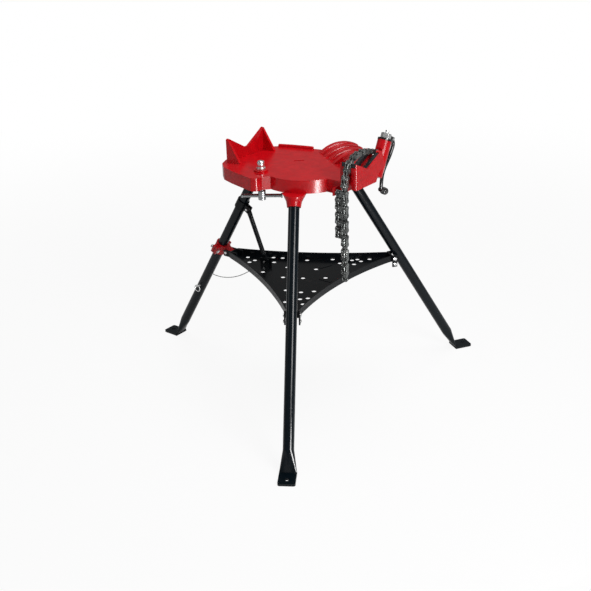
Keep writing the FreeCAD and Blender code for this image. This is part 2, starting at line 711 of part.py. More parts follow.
def tray_outline(inset):
    """The tray's corner points and the middles of its three hollow sides."""
    back_x = -leg_r(N("hinge_z")) + N("tray_back_gap") + inset
    back_y = N("tray_back_half") - inset
    a = N("leg_turn")
    r = CORNER_R - inset
    t = CORNER_T - inset
    corners = [(back_x, -back_y), polar(r, -t, -a), polar(r, t, -a), polar(r, -t, a),
               polar(r, t, a), (back_x, back_y)]
    side = N("tray_side_sag") + inset
    front = N("tray_front_sag") + inset
    mids = [sagged(corners[0], corners[1], side), sagged(corners[2], corners[3], front),
            sagged(corners[4], corners[5], side)]
    return corners, mids


def outline_sketch(b, shift, inset):
    """A closed sketch of three arcs and three short straight ends."""
    import Sketcher
    c, m = tray_outline(inset)
    sk = new_sketch(b, "XY_Plane", shift)
    runs = [(c[0], m[0], c[1]), (c[1], None, c[2]), (c[2], m[1], c[3]), (c[3], None, c[4]),
            (c[4], m[2], c[5]), (c[5], None, c[0])]
    for p, mid, q in runs:
        if mid is None:
            sk.addGeometry(Part.LineSegment(V(p[0], p[1], 0), V(q[0], q[1], 0)), False)
        else:
            sk.addGeometry(Part.Arc(V(p[0], p[1], 0), V(mid[0], mid[1], 0), V(q[0], q[1], 0)), False)
    for i in range(6):
        sk.addConstraint(Sketcher.Constraint("Block", i))
    return sk


tray = new_body("tray_body")
pad(tray, outline_sketch(tray, D("tray_z"), 0), D("tray_rim"))
pocket(tray, outline_sketch(tray, D("tray_z") + D("tray_sheet"), N("tray_sheet")), 60, reverse=True)

# drain and tool holes, from the tripod axis
HOLES = [(-249, 14), (-210, 6), (-183, 36), (-171, 63), (-141, 78), (-142, 30), (-34, -57),
         (40, -136), (15, 166), (56, 152), (76, 198), (87, 215), (107, 208), (121, 241), (102, 172),
         (89, 20), (-56, 110), (18, 62), (27, -25), (91, -121), (122, -91), (121, -166),
         (138, -146), (152, -191), (-120, -60), (-75, 20), (-215, -18), (95, -210), (122, -225)]
sk = new_sketch(tray, "XY_Plane", D("tray_z"))
for x, y in HOLES:
    draw_circle(sk, dim(x), dim(y), D("hole_rad"))
pocket(tray, sk, 30, middle=True)

# raised swages that stiffen the sheet
swages = []
for deg in (N("leg_turn") + 14, -N("leg_turn") - 14, 0):
    x, y = polar(80, -5, deg)
    swages.append(box("swage_%d" % int(deg % 360), 46, 10, 2, (x, y, N("tray_z") + N("tray_sheet") - 0.5),
                      deg))
# ears at the back for the hinge, and a fork for the foot of the strut
hx, hz = -HINGE_X, N("hinge_z")
ears = []
for sign in (-1, 1):
    y = 14.3 if sign > 0 else -20.3
    ears.append(box("hinge_ear_%s" % ("far" if sign > 0 else "near"), 60, 6, 22,
                    (hx - 11, y, N("tray_z"))))
sx = -STRUT_X
forks = []
for sign in (-1, 1):
    y = 4.5 if sign > 0 else -9.5
    forks.append(box("strut_fork_%s" % ("far" if sign > 0 else "near"), 36, 5, 25,
                     (sx - 18, y, N("tray_z") + 1)))
hinge_hole = cylinder("hinge_hole", 5 + D("run_fit"), 80, (hx, -40, hz), (0, 1, 0))
slot_a = cylinder("foot_slot_a", 5.6, 30, (sx - 2.8, -15, hz), (0, 1, 0))
slot_b = cylinder("foot_slot_b", 5.6, 30, (sx + 1.6, -15, hz), (0, 1, 0))
slot_c = box("foot_slot_c", 4.4, 30, 11.2, (sx - 2.8, -15, hz - 5.6))
keep(cut("tray_cut", fuse("tray_mass", [tray] + swages + ears + forks),
         [hinge_hole, slot_a, slot_b, slot_c]), "tray")

# corner clips: two lugs that lie against the sides of each front leg
clip_low = N("tray_z") - 20
clip_high = N("tray_rim") + 20
lug_in = N("leg_rad") + N("clip_gap")
for side, deg in (("left", N("leg_turn")), ("right", -N("leg_turn"))):
    bits = []
    r0 = CORNER_R
    for sign in (-1, 1):
        t = lug_in if sign > 0 else -lug_in - N("clip_thick")
        x, y = polar(r0, t, deg)
        bits.append(box("clip_lug_%s_%s" % (side, "a" if sign > 0 else "b"), D("lug_long"), D("clip_thick"),
                        clip_high, (x, y, clip_low), deg))
    x, y = polar(CORNER_R + 0.0, -lug_in - 1, deg)
    bits.append(box("clip_web_" + side, 4, 2 * lug_in + 2, 24, (x, y, N("tray_z") - 2), deg))
    keep(fuse("clip_mass_" + side, bits), "tray_clip_" + side)
    heads = []
    for sign in (-1, 1):
        for r, z in ((r0 + 10, N("tray_z") + 10), (r0 + 10, N("tray_z") - 10)):
            t = sign * (lug_in + N("clip_thick"))
            x, y = polar(r, t, deg)
            ax = polar(0, sign, deg)
            heads.append(cylinder("clip_head_%s_%d" % (side, len(heads)), 6, 3.5, (x, y, z),
                                  (ax[0], ax[1], 0)))
    group = doc.addObject("Part::Compound", "clip_bolts_" + side)
    group.Links = heads
    keep(group, "clip_bolts_" + side)

# -------------------------------------------------------------- rear collar

REAR_UP = V(-LEG_UP.x, 0, LEG_UP.z)
REAR_IN = V(REAR_UP.z, 0, -REAR_UP.x)
axis_at = V(-leg_r(hz), 0, hz)
mid_at = axis_at + REAR_UP * 10
tall = N("collar_high")
outer = N("leg_rad") + N("collar_wall")
sleeve_bore = cylinder("sleeve_bore", D("leg_rad") + D("run_fit"), tall + 30,
                       tuple(mid_at - REAR_UP * (tall / 2 + 15)), tuple(REAR_UP))
sleeve_bore2 = cylinder("sleeve_bore_cap", D("leg_rad") + D("run_fit"), tall + 30,
                        tuple(mid_at - REAR_UP * (tall / 2 + 15)), tuple(REAR_UP))


def slanted_box(name, length, width, high, along_in, along_y, along_up):
    """A box square to the rear leg, by its low corner in leg directions from the collar's middle."""
    c = doc.addObject("Part::Box", name)
    bind(c, "Length", length)
    bind(c, "Width", width)
    bind(c, "Height", high)
    at = mid_at + REAR_IN * along_in + V(0, along_y, 0) + REAR_UP * along_up
    c.Placement = FreeCAD.Placement(at, FreeCAD.Rotation(REAR_IN, V(0, 1, 0), REAR_UP, "ZXY"))
    return c


def collar_half(tag, sign):
    sleeve = cylinder("sleeve_" + tag, outer, tall, tuple(mid_at - REAR_UP * (tall / 2)), tuple(REAR_UP))
    wings = slanted_box("wings_" + tag, 10, 2 * outer + 30, tall - 10, 0.8 if sign > 0 else -10.8,
                        -outer - 15, -tall / 2 + 5)
    keep_side = slanted_box("side_" + tag, 60, 120, 60, 0.8 if sign > 0 else -60.8, -60, -30)
    mass = fuse("collar_mass_" + tag, [sleeve, wings])
    common = doc.addObject("Part::MultiCommon", "collar_common_" + tag)
    common.Shapes = [mass, keep_side]
    return common


inner = collar_half("inner", 1)
reach_in = (V(hx, 0, hz) - mid_at).dot(REAR_IN)
reach_up = (V(hx, 0, hz) - mid_at).dot(REAR_UP)
tongue = slanted_box("hinge_tongue", reach_in - 8, 27, 18, 16, -13.5, reach_up - 9)
nub = cylinder("hinge_nub", 9, 27, (hx, -13.5, hz), (0, 1, 0))
pin_bore = cylinder("collar_pin_bore", 5, 60, (hx, -30, hz), (0, 1, 0))
bolt_bores = []
for tag, sign in (("near", -1), ("far", 1)):
    at = mid_at + V(0, sign * (outer + 7), 0)
    bolt_bores.append(cylinder("collar_bolt_bore_" + tag, 3.5, 60, tuple(at - REAR_IN * 30), tuple(REAR_IN)))
keep(cut("collar_cut", fuse("collar_all", [inner, tongue, nub]),
         [sleeve_bore, pin_bore] + bolt_bores), "rear_collar")
bolt_bores = []
for tag, sign in (("near", -1), ("far", 1)):
    at = mid_at + V(0, sign * (outer + 7), 0)
    bolt_bores.append(cylinder("cap_bolt_bore_" + tag, 3.5, 60, tuple(at - REAR_IN * 30), tuple(REAR_IN)))
keep(cut("collar_cap_cut", collar_half("cap", -1), [sleeve_bore2] + bolt_bores), "collar_cap")
bolts = []
for tag, sign in (("near", -1), ("far", 1)):
    at = mid_at + V(0, sign * (outer + 7), 0)
    shank = cylinder("collar_shank_" + tag, 3.5, 31, tuple(at - REAR_IN * 17), tuple(REAR_IN))
    top = cylinder("collar_bolt_head_" + tag, 6.5, 5, tuple(at - REAR_IN * 15.8), tuple(-REAR_IN))
    nut = cylinder("collar_nut_" + tag, 6.5, 6, tuple(at + REAR_IN * 10.8), tuple(REAR_IN))
    bolts.append(fuse("collar_bolt_" + tag, [shank, top, nut]))
pair = doc.addObject("Part::Compound", "collar_bolt_pair")
pair.Links = bolts
keep(pair, "collar_bolts")
keep(cylinder("hinge_rod", 5, 48, (hx, -24, hz), (0, 1, 0)), "tray_hinge_pin")

# --------------------------------------------------------------------- strut

top_at = V(N("strut_top_gap") - leg_r(N("strut_top_z")), 0, N("strut_top_z"))
foot_at = V(sx, 0, hz)
run = top_at - foot_at
run_dir = run / run.Length
rod = cylinder("strut_rod", D("strut_rad"), run.Length - 20, tuple(foot_at + run_dir * 10), tuple(run_dir))
eye_top = cylinder("strut_eye_top", 8, 8, (top_at.x, -4, top_at.z), (0, 1, 0))
eye_low = cylinder("strut_eye_low", 8.5, 8, (foot_at.x, -4, foot_at.z), (0, 1, 0))
flats = []
for tag, at, sign in (("top", top_at, -1), ("low", foot_at, 1)):
    c = doc.addObject("Part::Box", "strut_flat_" + tag)
    bind(c, "Length", 16)
    bind(c, "Width", 8)
    bind(c, "Height", 24)
    side = V(0, 1, 0).cross(run_dir)
    base = at + run_dir * (0 if sign > 0 else -24) - side * 8 - V(0, 4, 0)
    c.Placement = FreeCAD.Placement(base, FreeCAD.Rotation(side, V(0, 1, 0), run_dir, "ZXY"))
    flats.append(c)
shaved = []
for tag, at, sign in (("top", top_at, -1), ("low", foot_at, 1)):
    for face in (-1, 1):
        c = doc.addObject("Part::Box", "strut_shave_%s_%s" % (tag, "near" if face < 0 else "far"))
        bind(c, "Length", 30)
        bind(c, "Width", 10)
        bind(c, "Height", 34)
        side = V(0, 1, 0).cross(run_dir)
        base = at + run_dir * (-10 if sign > 0 else -24) - side * 15 + V(0, 4 if face > 0 else -14, 0)
        c.Placement = FreeCAD.Placement(base, FreeCAD.Rotation(side, V(0, 1, 0), run_dir, "ZXY"))
        shaved.append(c)
strut_hole = cylinder("strut_top_hole", 4 + D("run_fit"), 30, (top_at.x, -15, top_at.z), (0, 1, 0))
foot_hole = cylinder("strut_foot_hole", 4, 30, (foot_at.x, -15, foot_at.z), (0, 1, 0))
keep(cut("strut_cut", fuse("strut_mass", [rod, eye_top, eye_low] + flats),
         shaved + [strut_hole, foot_hole]), "strut")
keep(cylinder("foot_rod", 4, 26, (foot_at.x, -13, foot_at.z), (0, 1, 0)), "strut_foot_pin")
keep(cylinder("top_rod", 4, 26, (top_at.x, -13, top_at.z), (0, 1, 0)), "strut_top_pin")

# the bracket on the rear leg: a saddle with two ears
mid_at = V(-leg_r(top_at.z), 0, top_at.z) + REAR_UP * ((top_at - V(-leg_r(top_at.z), 0, top_at.z)).dot(REAR_UP))
off = (top_at - mid_at).dot(REAR_IN)
saddle = cylinder("saddle", D("leg_rad") + 4, 34, tuple(mid_at - REAR_UP * 17), tuple(REAR_UP))
ear_near = slanted_box("saddle_ear_near", off + 3, 4.5, 22, 6, -8.8, -11)
ear_far = slanted_box("saddle_ear_far", off + 3, 4.5, 22, 6, 4.3, -11)
saddle_bore = cylinder("saddle_bore", D("leg_rad"), 60, tuple(mid_at - REAR_UP * 30), tuple(REAR_UP))
saddle_pin = cylinder("saddle_pin_bore", 4, 40, (top_at.x, -20, top_at.z), (0, 1, 0))
keep(cut("saddle_cut", fuse("saddle_mass", [saddle, ear_near, ear_far]), [saddle_bore, saddle_pin]),
     "strut_bracket")

# ------------------------------------------------------- retaining pin and ring

pin_z = PIN_Z
pin_x = -leg_r(pin_z)
keep(cylinder("retaining_rod", 4, 56, (pin_x, -30, pin_z), (0, 1, 0)), "retaining_pin")
keep(torus("ring_loop", 12, 1.8, (pin_x, -31.9, pin_z - 8), (0, 1, 0)), "retaining_ring")

# --------------------------------------------------------------------- chain

def plate(p, q, x, hole_p, hole_q):
    """One side plate of a link from pin p to pin q, in a plane of constant x."""
    r = N("link_high") / 2
    t = N("link_thick")
    d = q - p
    long = d.Length
    d = d / long
    n = V(1, 0, 0).cross(d)
    a, b = p + V(x, 0, 0), q + V(x, 0, 0)
    waist = n * (r * 0.72)
    mid = (a + b) / 2
    edges = [Part.Arc(a + n * r, a - d * r, a - n * r).toShape(),
             Part.Arc(a - n * r, mid - waist, b - n * r).toShape(),
             Part.Arc(b - n * r, b + d * r, b + n * r).toShape(),
             Part.Arc(b + n * r, mid + waist, a + n * r).toShape()]
    solid = Part.Face(Part.Wire(edges)).extrude(V(t, 0, 0))
    for at, rad in ((a, hole_p), (b, hole_q)):
        solid = solid.cut(Part.makeCylinder(rad, t + 2, at - V(1, 0, 0), V(1, 0, 0)))
    return solid


def chain_run(label, pins, first_outer, own_first, own_last):
    """Links and pins through a list of pin centres; an end pin may belong to a neighbour."""
    plates = []
    gap = N("link_gap")
    t = N("link_thick")
    snug = N("pin_rad")
    loose = snug + N("run_fit")
    for i in range(len(pins) - 1):
        outer_link = (i % 2 == 0) == first_outer
        x = 3.2 + (t + gap if outer_link else 0)
        hole_p = snug if i > 0 or own_first else loose
        hole_q = snug if i < len(pins) - 2 or own_last else loose
        for sign in (-1, 1):
            start = x if sign > 0 else -x - t
            plates.append(plate(pins[i], pins[i + 1], start, hole_p, hole_q))
    rods = []
    half = 3.2 + 2 * t + gap + 0.8
    for i, p in enumerate(pins):
        if (i == 0 and not own_first) or (i == len(pins) - 1 and not own_last):
            continue
        rods.append(Part.makeCylinder(snug, 2 * half, p - V(half, 0, 0), V(1, 0, 0)))
    links = feature(label + "_links", Part.makeCompound(plates))
    keep(links, label + "_links")
    bars = feature(label + "_pins", Part.makeCompound(rods))
    keep(bars, label + "_pins")


pitch = N("pitch")
at = V(middle_x, N("chain_start_y"), N("vee_z") + N("chain_rise"))
pins = [at]
for drop in (-16, -13, -8, 0, 14, 32, 52, 68, 80):
    a = math.radians(drop)
    at = at + V(0, -math.cos(a), -math.sin(a)) * pitch
    pins.append(at)
chain_run("chain_lay", pins, True, True, True)
upper = [pins[-1] - V(0, 0, pitch) * i for i in range(7)]
chain_run("chain_upper", upper, False, False, True)
lower = [upper[-1] - V(0, 0, pitch) * i for i in range(8)]
chain_run("chain_lower", lower, False, False, True)
tail_top = V(N("strand_x"), N("strand_y"), N("strand_z"))
tail = [tail_top - V(0, 0, pitch) * i for i in range(7)]
chain_run("chain_tail", tail, False, False, True)
keeper = [cylinder("keeper_rod", D("pin_rad"), 32,
                   (N("strand_x") - 20, N("strand_y"), N("strand_z")), (1, 0, 0)),
          cylinder("keeper_head", D("pin_rad") + 2.4, 2,
                   (N("strand_x") + 11.7, N("strand_y"), N("strand_z")), (1, 0, 0))]
keep(fuse("keeper_mass", keeper), "keeper_pin")

# ------------------------------------------------------------------- lanyard

# a light sash chain from a rivet on the rear leg to the underside of the tray
ROUTE = [(-411, 0, 300), (-374, -9, 303), (-334, -19, 313), (-292, -29, 327), (-249, -38, 347),
         (-208, -46, 371), (-172, -53, 396)]
LANYARD_RAD = 1.8


def rounded_path(points):
    """Straight runs joined by tangent arcs, each as large as its two runs allow."""
    pts = [V(*p) for p in points]
    edges = []
    last = pts[0]
    for i in range(1, len(pts) - 1):
        a = (pts[i - 1] - pts[i])
        b = (pts[i + 1] - pts[i])
        cut_back = 0.45 * min(a.Length, b.Length)
        ua, ub = a / a.Length, b / b.Length
        turn_by = math.pi - ua.getAngle(ub)
        radius = cut_back / math.tan(turn_by / 2)
        print("lanyard arc radius %.0f mm" % radius)
        start, end = pts[i] + ua * cut_back, pts[i] + ub * cut_back
        bis = (ua + ub)
        bis = bis / bis.Length
        centre = pts[i] + bis * (radius / math.cos(turn_by / 2))
        mid = centre - bis * radius
        edges.append(Part.makeLine(last, start))
        edges.append(Part.Arc(start, mid, end).toShape())
        last = end
    edges.append(Part.makeLine(last, pts[-1]))
    return Part.Wire(edges)


path = rounded_path(ROUTE)
way = V(*ROUTE[1]) - V(*ROUTE[0])
ring = Part.Wire([Part.makeCircle(LANYARD_RAD, V(*ROUTE[0]), way)])
keep(feature("lanyard_tube", path.makePipeShell([ring], True, False)), "lanyard")
print("lanyard length %.0f mm" % path.Length)
rivet_at = V(ROUTE[0][0], 0, ROUTE[0][2])
on_leg = V(-leg_r(ROUTE[0][2]), 0, ROUTE[0][2])
lift = (rivet_at - on_leg).dot(REAR_UP)
rivet_base = on_leg + REAR_UP * lift + REAR_IN * N("leg_rad")
rivet_long = (rivet_at - rivet_base).dot(REAR_IN) - 1.6
keep(cylinder("rivet", 4, max(rivet_long, 1.5), tuple(rivet_base), tuple(REAR_IN)), "lanyard_rivet")

# ------------------------------------------------------------- check and save

doc.recompute()
bad = []
for obj in doc.Objects:
    if "Invalid" in obj.State or "Error" in obj.State:
        bad.append(obj.Name + " " + str(obj.State))
for obj in NODES:
    shape = obj.Shape
    if shape.isNull() or not shape.isValid() or shape.Volume < 1:
        bad.append(obj.Label + " shape")
if bad:
    raise RuntimeError("failed objects: " + "; ".join(bad))
os.makedirs("parts", exist_ok=True)
for old in os.listdir("parts"):
    os.remove(os.path.join("parts", old))
for obj in NODES:
    obj.Shape.exportStep(os.path.join("parts", obj.Label + ".step"))
    print("%-20s solids %2d  volume %.1f cm3" % (obj.Label, len(obj.Shape.Solids), obj.Shape.Volume / 1000))
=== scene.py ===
"""Tripod pipe vise stand: finishes, fine detail, studio and camera around the CAD model."""

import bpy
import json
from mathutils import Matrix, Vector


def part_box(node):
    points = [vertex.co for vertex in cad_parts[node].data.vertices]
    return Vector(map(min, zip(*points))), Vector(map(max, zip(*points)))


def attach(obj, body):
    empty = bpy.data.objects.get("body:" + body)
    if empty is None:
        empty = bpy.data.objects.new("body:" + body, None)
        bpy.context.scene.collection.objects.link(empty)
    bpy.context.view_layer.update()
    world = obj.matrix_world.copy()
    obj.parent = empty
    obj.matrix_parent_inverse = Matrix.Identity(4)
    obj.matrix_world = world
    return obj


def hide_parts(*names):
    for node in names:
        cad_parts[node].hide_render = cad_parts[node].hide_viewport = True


bl_info = {
    "name": "Tripod Pipe Vise Stand",
    "version": (1, 0, 0),
    "blender": (4, 5, 0),
    "location": "View3D > Sidebar > Vise Stand",
    "description": "Dresses a folding tripod pipe vise stand: enamel, chain, screws, "
                   "lanyard, studio",
    "category": "Object",
}
import json
import math

import bmesh
import bpy
from mathutils import Matrix, Vector

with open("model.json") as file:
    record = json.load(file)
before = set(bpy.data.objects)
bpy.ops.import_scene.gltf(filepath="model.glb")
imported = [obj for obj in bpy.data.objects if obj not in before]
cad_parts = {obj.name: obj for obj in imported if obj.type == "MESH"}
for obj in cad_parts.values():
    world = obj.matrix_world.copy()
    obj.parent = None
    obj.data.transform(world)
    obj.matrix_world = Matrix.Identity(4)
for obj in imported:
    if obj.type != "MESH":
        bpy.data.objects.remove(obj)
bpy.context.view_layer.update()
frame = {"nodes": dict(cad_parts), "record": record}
MM = 0.001

PARTS = {part["node"]: part for part in frame["record"]["subparts"]}
BODY_OF = {node: body for body, nodes in frame["record"]["behaviour"]["bodies"].items()
           for node in nodes}

# Parts whose edges are rounded: the name of the rounded part and its edge radius in mm
EASED = {
    "head_casting": ("table_casting", 1.6),
    "rear_collar": ("collar_casting", 1.1),
    "collar_cap": ("collar_cap_casting", 1.1),
    "crank_head": ("forked_crank_head", 0.9),
    "crank_nut": ("crank_hexagon", 0.9),
    "crank_handle": ("bent_crank_handle", 0.6),
    "vise_jaw_front": ("toothed_jaw_front", 0.25),
    "vise_jaw_rear": ("toothed_jaw_rear", 0.25),
    "tray": ("pressed_tray", 0.5),
    "tray_clip_left": ("corner_clip_left", 0.6),
    "tray_clip_right": ("corner_clip_right", 0.6),
    "strut": ("flattened_strut", 0.5),
    "strut_bracket": ("pressed_strut_bracket", 0.5),
    "front_leg_left": ("tube_leg_left", 0.6),
    "front_leg_right": ("tube_leg_right", 0.6),
    "rear_leg": ("tube_leg_rear", 0.6),
    "chain_lay_links": ("link_plates_lay", 0.35),
    "chain_upper_links": ("link_plates_upper", 0.35),
    "chain_lower_links": ("link_plates_lower", 0.35),
    "chain_tail_links": ("link_plates_tail", 0.35),
    "chain_lay_pins": ("peened_rivets_lay", 0.8),
    "chain_upper_pins": ("peened_rivets_upper", 0.8),
    "chain_lower_pins": ("peened_rivets_lower", 0.8),
    "chain_tail_pins": ("peened_rivets_tail", 0.8),
    "brace_bar": ("drawn_brace_bar", 0.7),
    "brace_bar_ends": ("upset_bar_ends", 0.9),
    "retaining_pin": ("turned_retaining_pin", 0.6),
    "strut_foot_pin": ("turned_strut_pin_low", 0.6),
    "strut_top_pin": ("turned_strut_pin_high", 0.6),
    "tray_hinge_pin": ("turned_hinge_pin", 0.6),
    "keeper_pin": ("turned_keeper_pin", 0.6),
    "crank_pivot": ("turned_crank_pivot", 0.6),
    "lanyard_rivet": ("domed_lanyard_rivet", 0.4),
    "chain_screw": ("turned_chain_screw", 0.9),
}

WELD = 0.004 * MM                # corners of the model's loose triangles that are one corner
NEAR = 0.1 * MM                  # places closer than this are level with each other
MIRRORED_WHITE = 0.18            # share of the white background that gloss shows
OPEN_SKY = 0.18                  # light of the room from all sides

# The table lip lies at a smaller x and a larger y than this, and nothing but its top
# reaches as high beyond LIP_FAR_Y, in metres
LIP_END_X, LIP_NEAR_Y, LIP_FAR_Y = -0.060, 0.130, 0.169

# Lanyard route from the rivet on the rear leg to the tray, in metres
LANYARD_ROUTE = [(-0.411, 0.0, 0.300), (-0.374, -0.009, 0.303), (-0.334, -0.019, 0.313),
                 (-0.292, -0.029, 0.327), (-0.249, -0.038, 0.347), (-0.208, -0.046, 0.371),
                 (-0.172, -0.053, 0.396)]


# ---------------------------------------------------------------- settings

class StandCameraSettings(bpy.types.PropertyGroup):
    """Where the camera stands and looks"""
    aim: bpy.props.FloatVectorProperty(
        name="Aim", description="Point that the camera looks at", size=3,
        default=(0.107, -0.1711, 0.412), subtype="TRANSLATION", unit="LENGTH")
    azimuth: bpy.props.FloatProperty(
        name="Azimuth", description="Side that the camera stands on, from +X towards +Y",
        default=math.radians(-51.97), subtype="ANGLE", unit="ROTATION")
    elevation: bpy.props.FloatProperty(
        name="Elevation", description="How far above level the camera stands",
        default=math.radians(24.61), subtype="ANGLE", unit="ROTATION")
    roll: bpy.props.FloatProperty(
        name="Roll", description="Turn of the camera about its own line of sight",
        default=math.radians(-1.58), subtype="ANGLE", unit="ROTATION")
    distance: bpy.props.FloatProperty(
        name="Distance", description="From the camera to its aim", default=3.1598,
        min=0.5, unit="LENGTH")
    lens: bpy.props.FloatProperty(
        name="Lens", description="Focal length on a 36 mm sensor, in millimetres",
        default=59.49, min=10.0)


class StandSizeSettings(bpy.types.PropertyGroup):
    """Sizes of the fine pieces"""
    lanyard_wire: bpy.props.FloatProperty(
        name="Lanyard Wire", description="Diameter of the wire of a lanyard link",
        default=1.15 * MM, min=0.3 * MM, max=2 * MM, unit="LENGTH")
    lanyard_pitch: bpy.props.FloatProperty(
        name="Lanyard Pitch", description="Distance from one lanyard link to the next",
        default=5.2 * MM, min=2 * MM, max=12 * MM, unit="LENGTH")
    lip_drop: bpy.props.FloatProperty(
        name="Lip Drop", description="How far the lip of the table comes down",
        default=4.5 * MM, min=0.0, max=8 * MM, unit="LENGTH")
    lip_round: bpy.props.FloatProperty(
        name="Lip Round", description="Edge radius of the lip of the table",
        default=3.6 * MM, min=0.5 * MM, max=4.5 * MM, unit="LENGTH")
    plate_radius: bpy.props.FloatProperty(
        name="Centre Plate Radius", description="Round end of a centre plate of the vise chain",
        default=8.2 * MM, min=5 * MM, max=9 * MM, unit="LENGTH")
    plate_thick: bpy.props.FloatProperty(
        name="Centre Plate Thickness", description="Thickness of a centre plate",
        default=5.6 * MM, min=2 * MM, max=6 * MM, unit="LENGTH")
    thread_pitch: bpy.props.FloatProperty(
        name="Thread Pitch", description="Rise of the brace screw in one turn",
        default=5.0 * MM, min=2 * MM, max=8 * MM, unit="LENGTH")
    thread_depth: bpy.props.FloatProperty(
        name="Thread Depth", description="Depth of the profile of the brace screw's thread",
        default=1.6 * MM, min=0.5 * MM, max=2 * MM, unit="LENGTH")


class StandColourSettings(bpy.types.PropertyGroup):
    """Colours of the finishes"""
    enamel: bpy.props.FloatVectorProperty(
        name="Enamel", description="Red gloss enamel of the castings", size=3,
        default=(0.50, 0.002, 0.006), min=0.0, max=1.0, subtype="COLOR")
    leg_paint: bpy.props.FloatVectorProperty(
        name="Leg Paint", description="Black paint of the legs and the strut", size=3,
        default=(0.002, 0.005, 0.0078), min=0.0, max=1.0, subtype="COLOR")
    tray_paint: bpy.props.FloatVectorProperty(
        name="Tray Paint", description="Black paint of the tray and its clips", size=3,
        default=(0.0025, 0.0038, 0.0055), min=0.0, max=1.0, subtype="COLOR")
    plating: bpy.props.FloatVectorProperty(
        name="Plating", description="Zinc plate of the bolts, pins and screws", size=3,
        default=(0.74, 0.75, 0.75), min=0.0, max=1.0, subtype="COLOR")
    chain: bpy.props.FloatVectorProperty(
        name="Chain", description="Oiled dark steel of the vise chain", size=3,
        default=(0.190, 0.200, 0.195), min=0.0, max=1.0, subtype="COLOR")
    tool_steel: bpy.props.FloatVectorProperty(
        name="Tool Steel", description="Blackened steel of the jaws", size=3,
        default=(0.035, 0.036, 0.040), min=0.0, max=1.0, subtype="COLOR")
    forged: bpy.props.FloatVectorProperty(
        name="Forged Parts", description="Black forged steel of the crank", size=3,
        default=(0.008, 0.008, 0.009), min=0.0, max=1.0, subtype="COLOR")
    floor: bpy.props.FloatVectorProperty(
        name="Floor", description="Pale studio floor", size=3,
        default=(0.80, 0.80, 0.80), min=0.0, max=1.0, subtype="COLOR")


# ---------------------------------------------------------------- mesh helpers

def deselect():
    """Leaves edit mode and selects nothing."""
    if bpy.context.mode != "OBJECT":
        bpy.ops.object.mode_set(mode="OBJECT")
    bpy.ops.object.select_all(action="DESELECT")


def only(obj):
    """Makes one object the selected and the active one."""
    deselect()
    obj.select_set(True)
    bpy.context.view_layer.objects.active = obj
    return obj


def context_object(name):
    """The object that an operator has just added, under its own name."""
    obj = bpy.context.object
    obj.name = name
    return obj


def bake_place(obj):
    """Puts the object's place into its mesh."""
    only(obj)
    bpy.ops.object.transform_apply(location=True, rotation=True, scale=True)


def copy_at(obj, matrix):
    """A copy with its own mesh, moved by the matrix."""
    twin = obj.copy()
    twin.data = obj.data.copy()
    twin.data.transform(matrix)
    bpy.context.scene.collection.objects.link(twin)
    return twin


def join(objs, name):
    """One object out of several, under a new name."""
    deselect()
    for o in objs:
        o.select_set(True)
    bpy.context.view_layer.objects.active = objs[0]
    bpy.ops.object.join()
    objs[0].name = name
    return objs[0]


def smooth(obj, degrees=35):
    """Shades smooth, up to the angle at which an edge stays sharp."""
    only(obj)
    bpy.ops.object.shade_smooth_by_angle(angle=math.radians(degrees))


def paint(obj, material):
    """Gives the object this one material."""
    obj.data.materials.clear()
    obj.data.materials.append(material)


def round_off(width, segments, degrees):
    """Bevels the active object's edges that are sharper than the angle."""
    obj = bpy.context.object
    bpy.ops.object.modifier_add(type="BEVEL")
    edge = obj.modifiers[-1]
    edge.width, edge.segments, edge.limit_method = width, segments, "ANGLE"
    edge.angle_limit = math.radians(degrees)
    bpy.ops.object.modifier_apply(modifier=edge.name)


def face_outwards():
    """In edit mode, turns all faces of a closed shape to the outside."""
    bpy.ops.mesh.select_all(action="SELECT")
    bpy.ops.mesh.normals_make_consistent(inside=False)
    bpy.ops.object.mode_set(mode="OBJECT")


def eased(node, name, width, degrees=28.0, steps=2, before=None):
    """A copy of a model part with its sharp edges rounded."""
    source = frame["nodes"][node]
    obj = bpy.data.objects.new(name, source.data.copy())
    bpy.context.scene.collection.objects.link(obj)
    only(obj)
    bpy.ops.object.mode_set(mode="EDIT")
    bpy.ops.mesh.select_all(action="SELECT")
    bpy.ops.mesh.remove_doubles(threshold=WELD)
    bpy.ops.mesh.dissolve_limited(angle_limit=math.radians(0.6))
    bpy.ops.object.mode_set(mode="OBJECT")
    if before:
        before(obj)
    round_off(width, steps, degrees)
    smooth(obj, 38)
    bpy.ops.object.modifier_add(type="WEIGHTED_NORMAL")
    even = obj.modifiers[-1]
    even.keep_sharp = True
    even.weight = 60
    bpy.ops.object.modifier_apply(modifier=even.name)
    return obj


def select_where(obj, test):
    """In edit mode, selects the corners that pass the test."""
    bpy.ops.mesh.select_mode(type="VERT")
    bpy.ops.mesh.select_all(action="DESELECT")
    mesh = bmesh.from_edit_mesh(obj.data)
    for v in mesh.verts:
        v.select = test(v.co)
    mesh.select_flush(True)
    bmesh.update_edit_mesh(obj.data)


def lathe(name, rings, segments=48):
    """A turned piece about Z: a disc drawn up through rings of (radius, height)."""
    deselect()
    radius, height = rings[0]
    bpy.ops.mesh.primitive_circle_add(vertices=segments, radius=radius, fill_type="NGON",
                                      location=(0, 0, height))
    obj = context_object(name)
    bake_place(obj)
    bpy.ops.object.mode_set(mode="EDIT")
    bpy.ops.mesh.select_all(action="SELECT")
    for wide, high in rings[1:]:
        bpy.ops.mesh.extrude_region_move(
            TRANSFORM_OT_translate={"value": (0, 0, high - height)})
        bpy.ops.transform.resize(value=(wide / radius, wide / radius, 1.0),
                                 center_override=(0, 0, high))
        radius, height = wide, high
    face_outwards()
    smooth(obj, 32)
    return obj


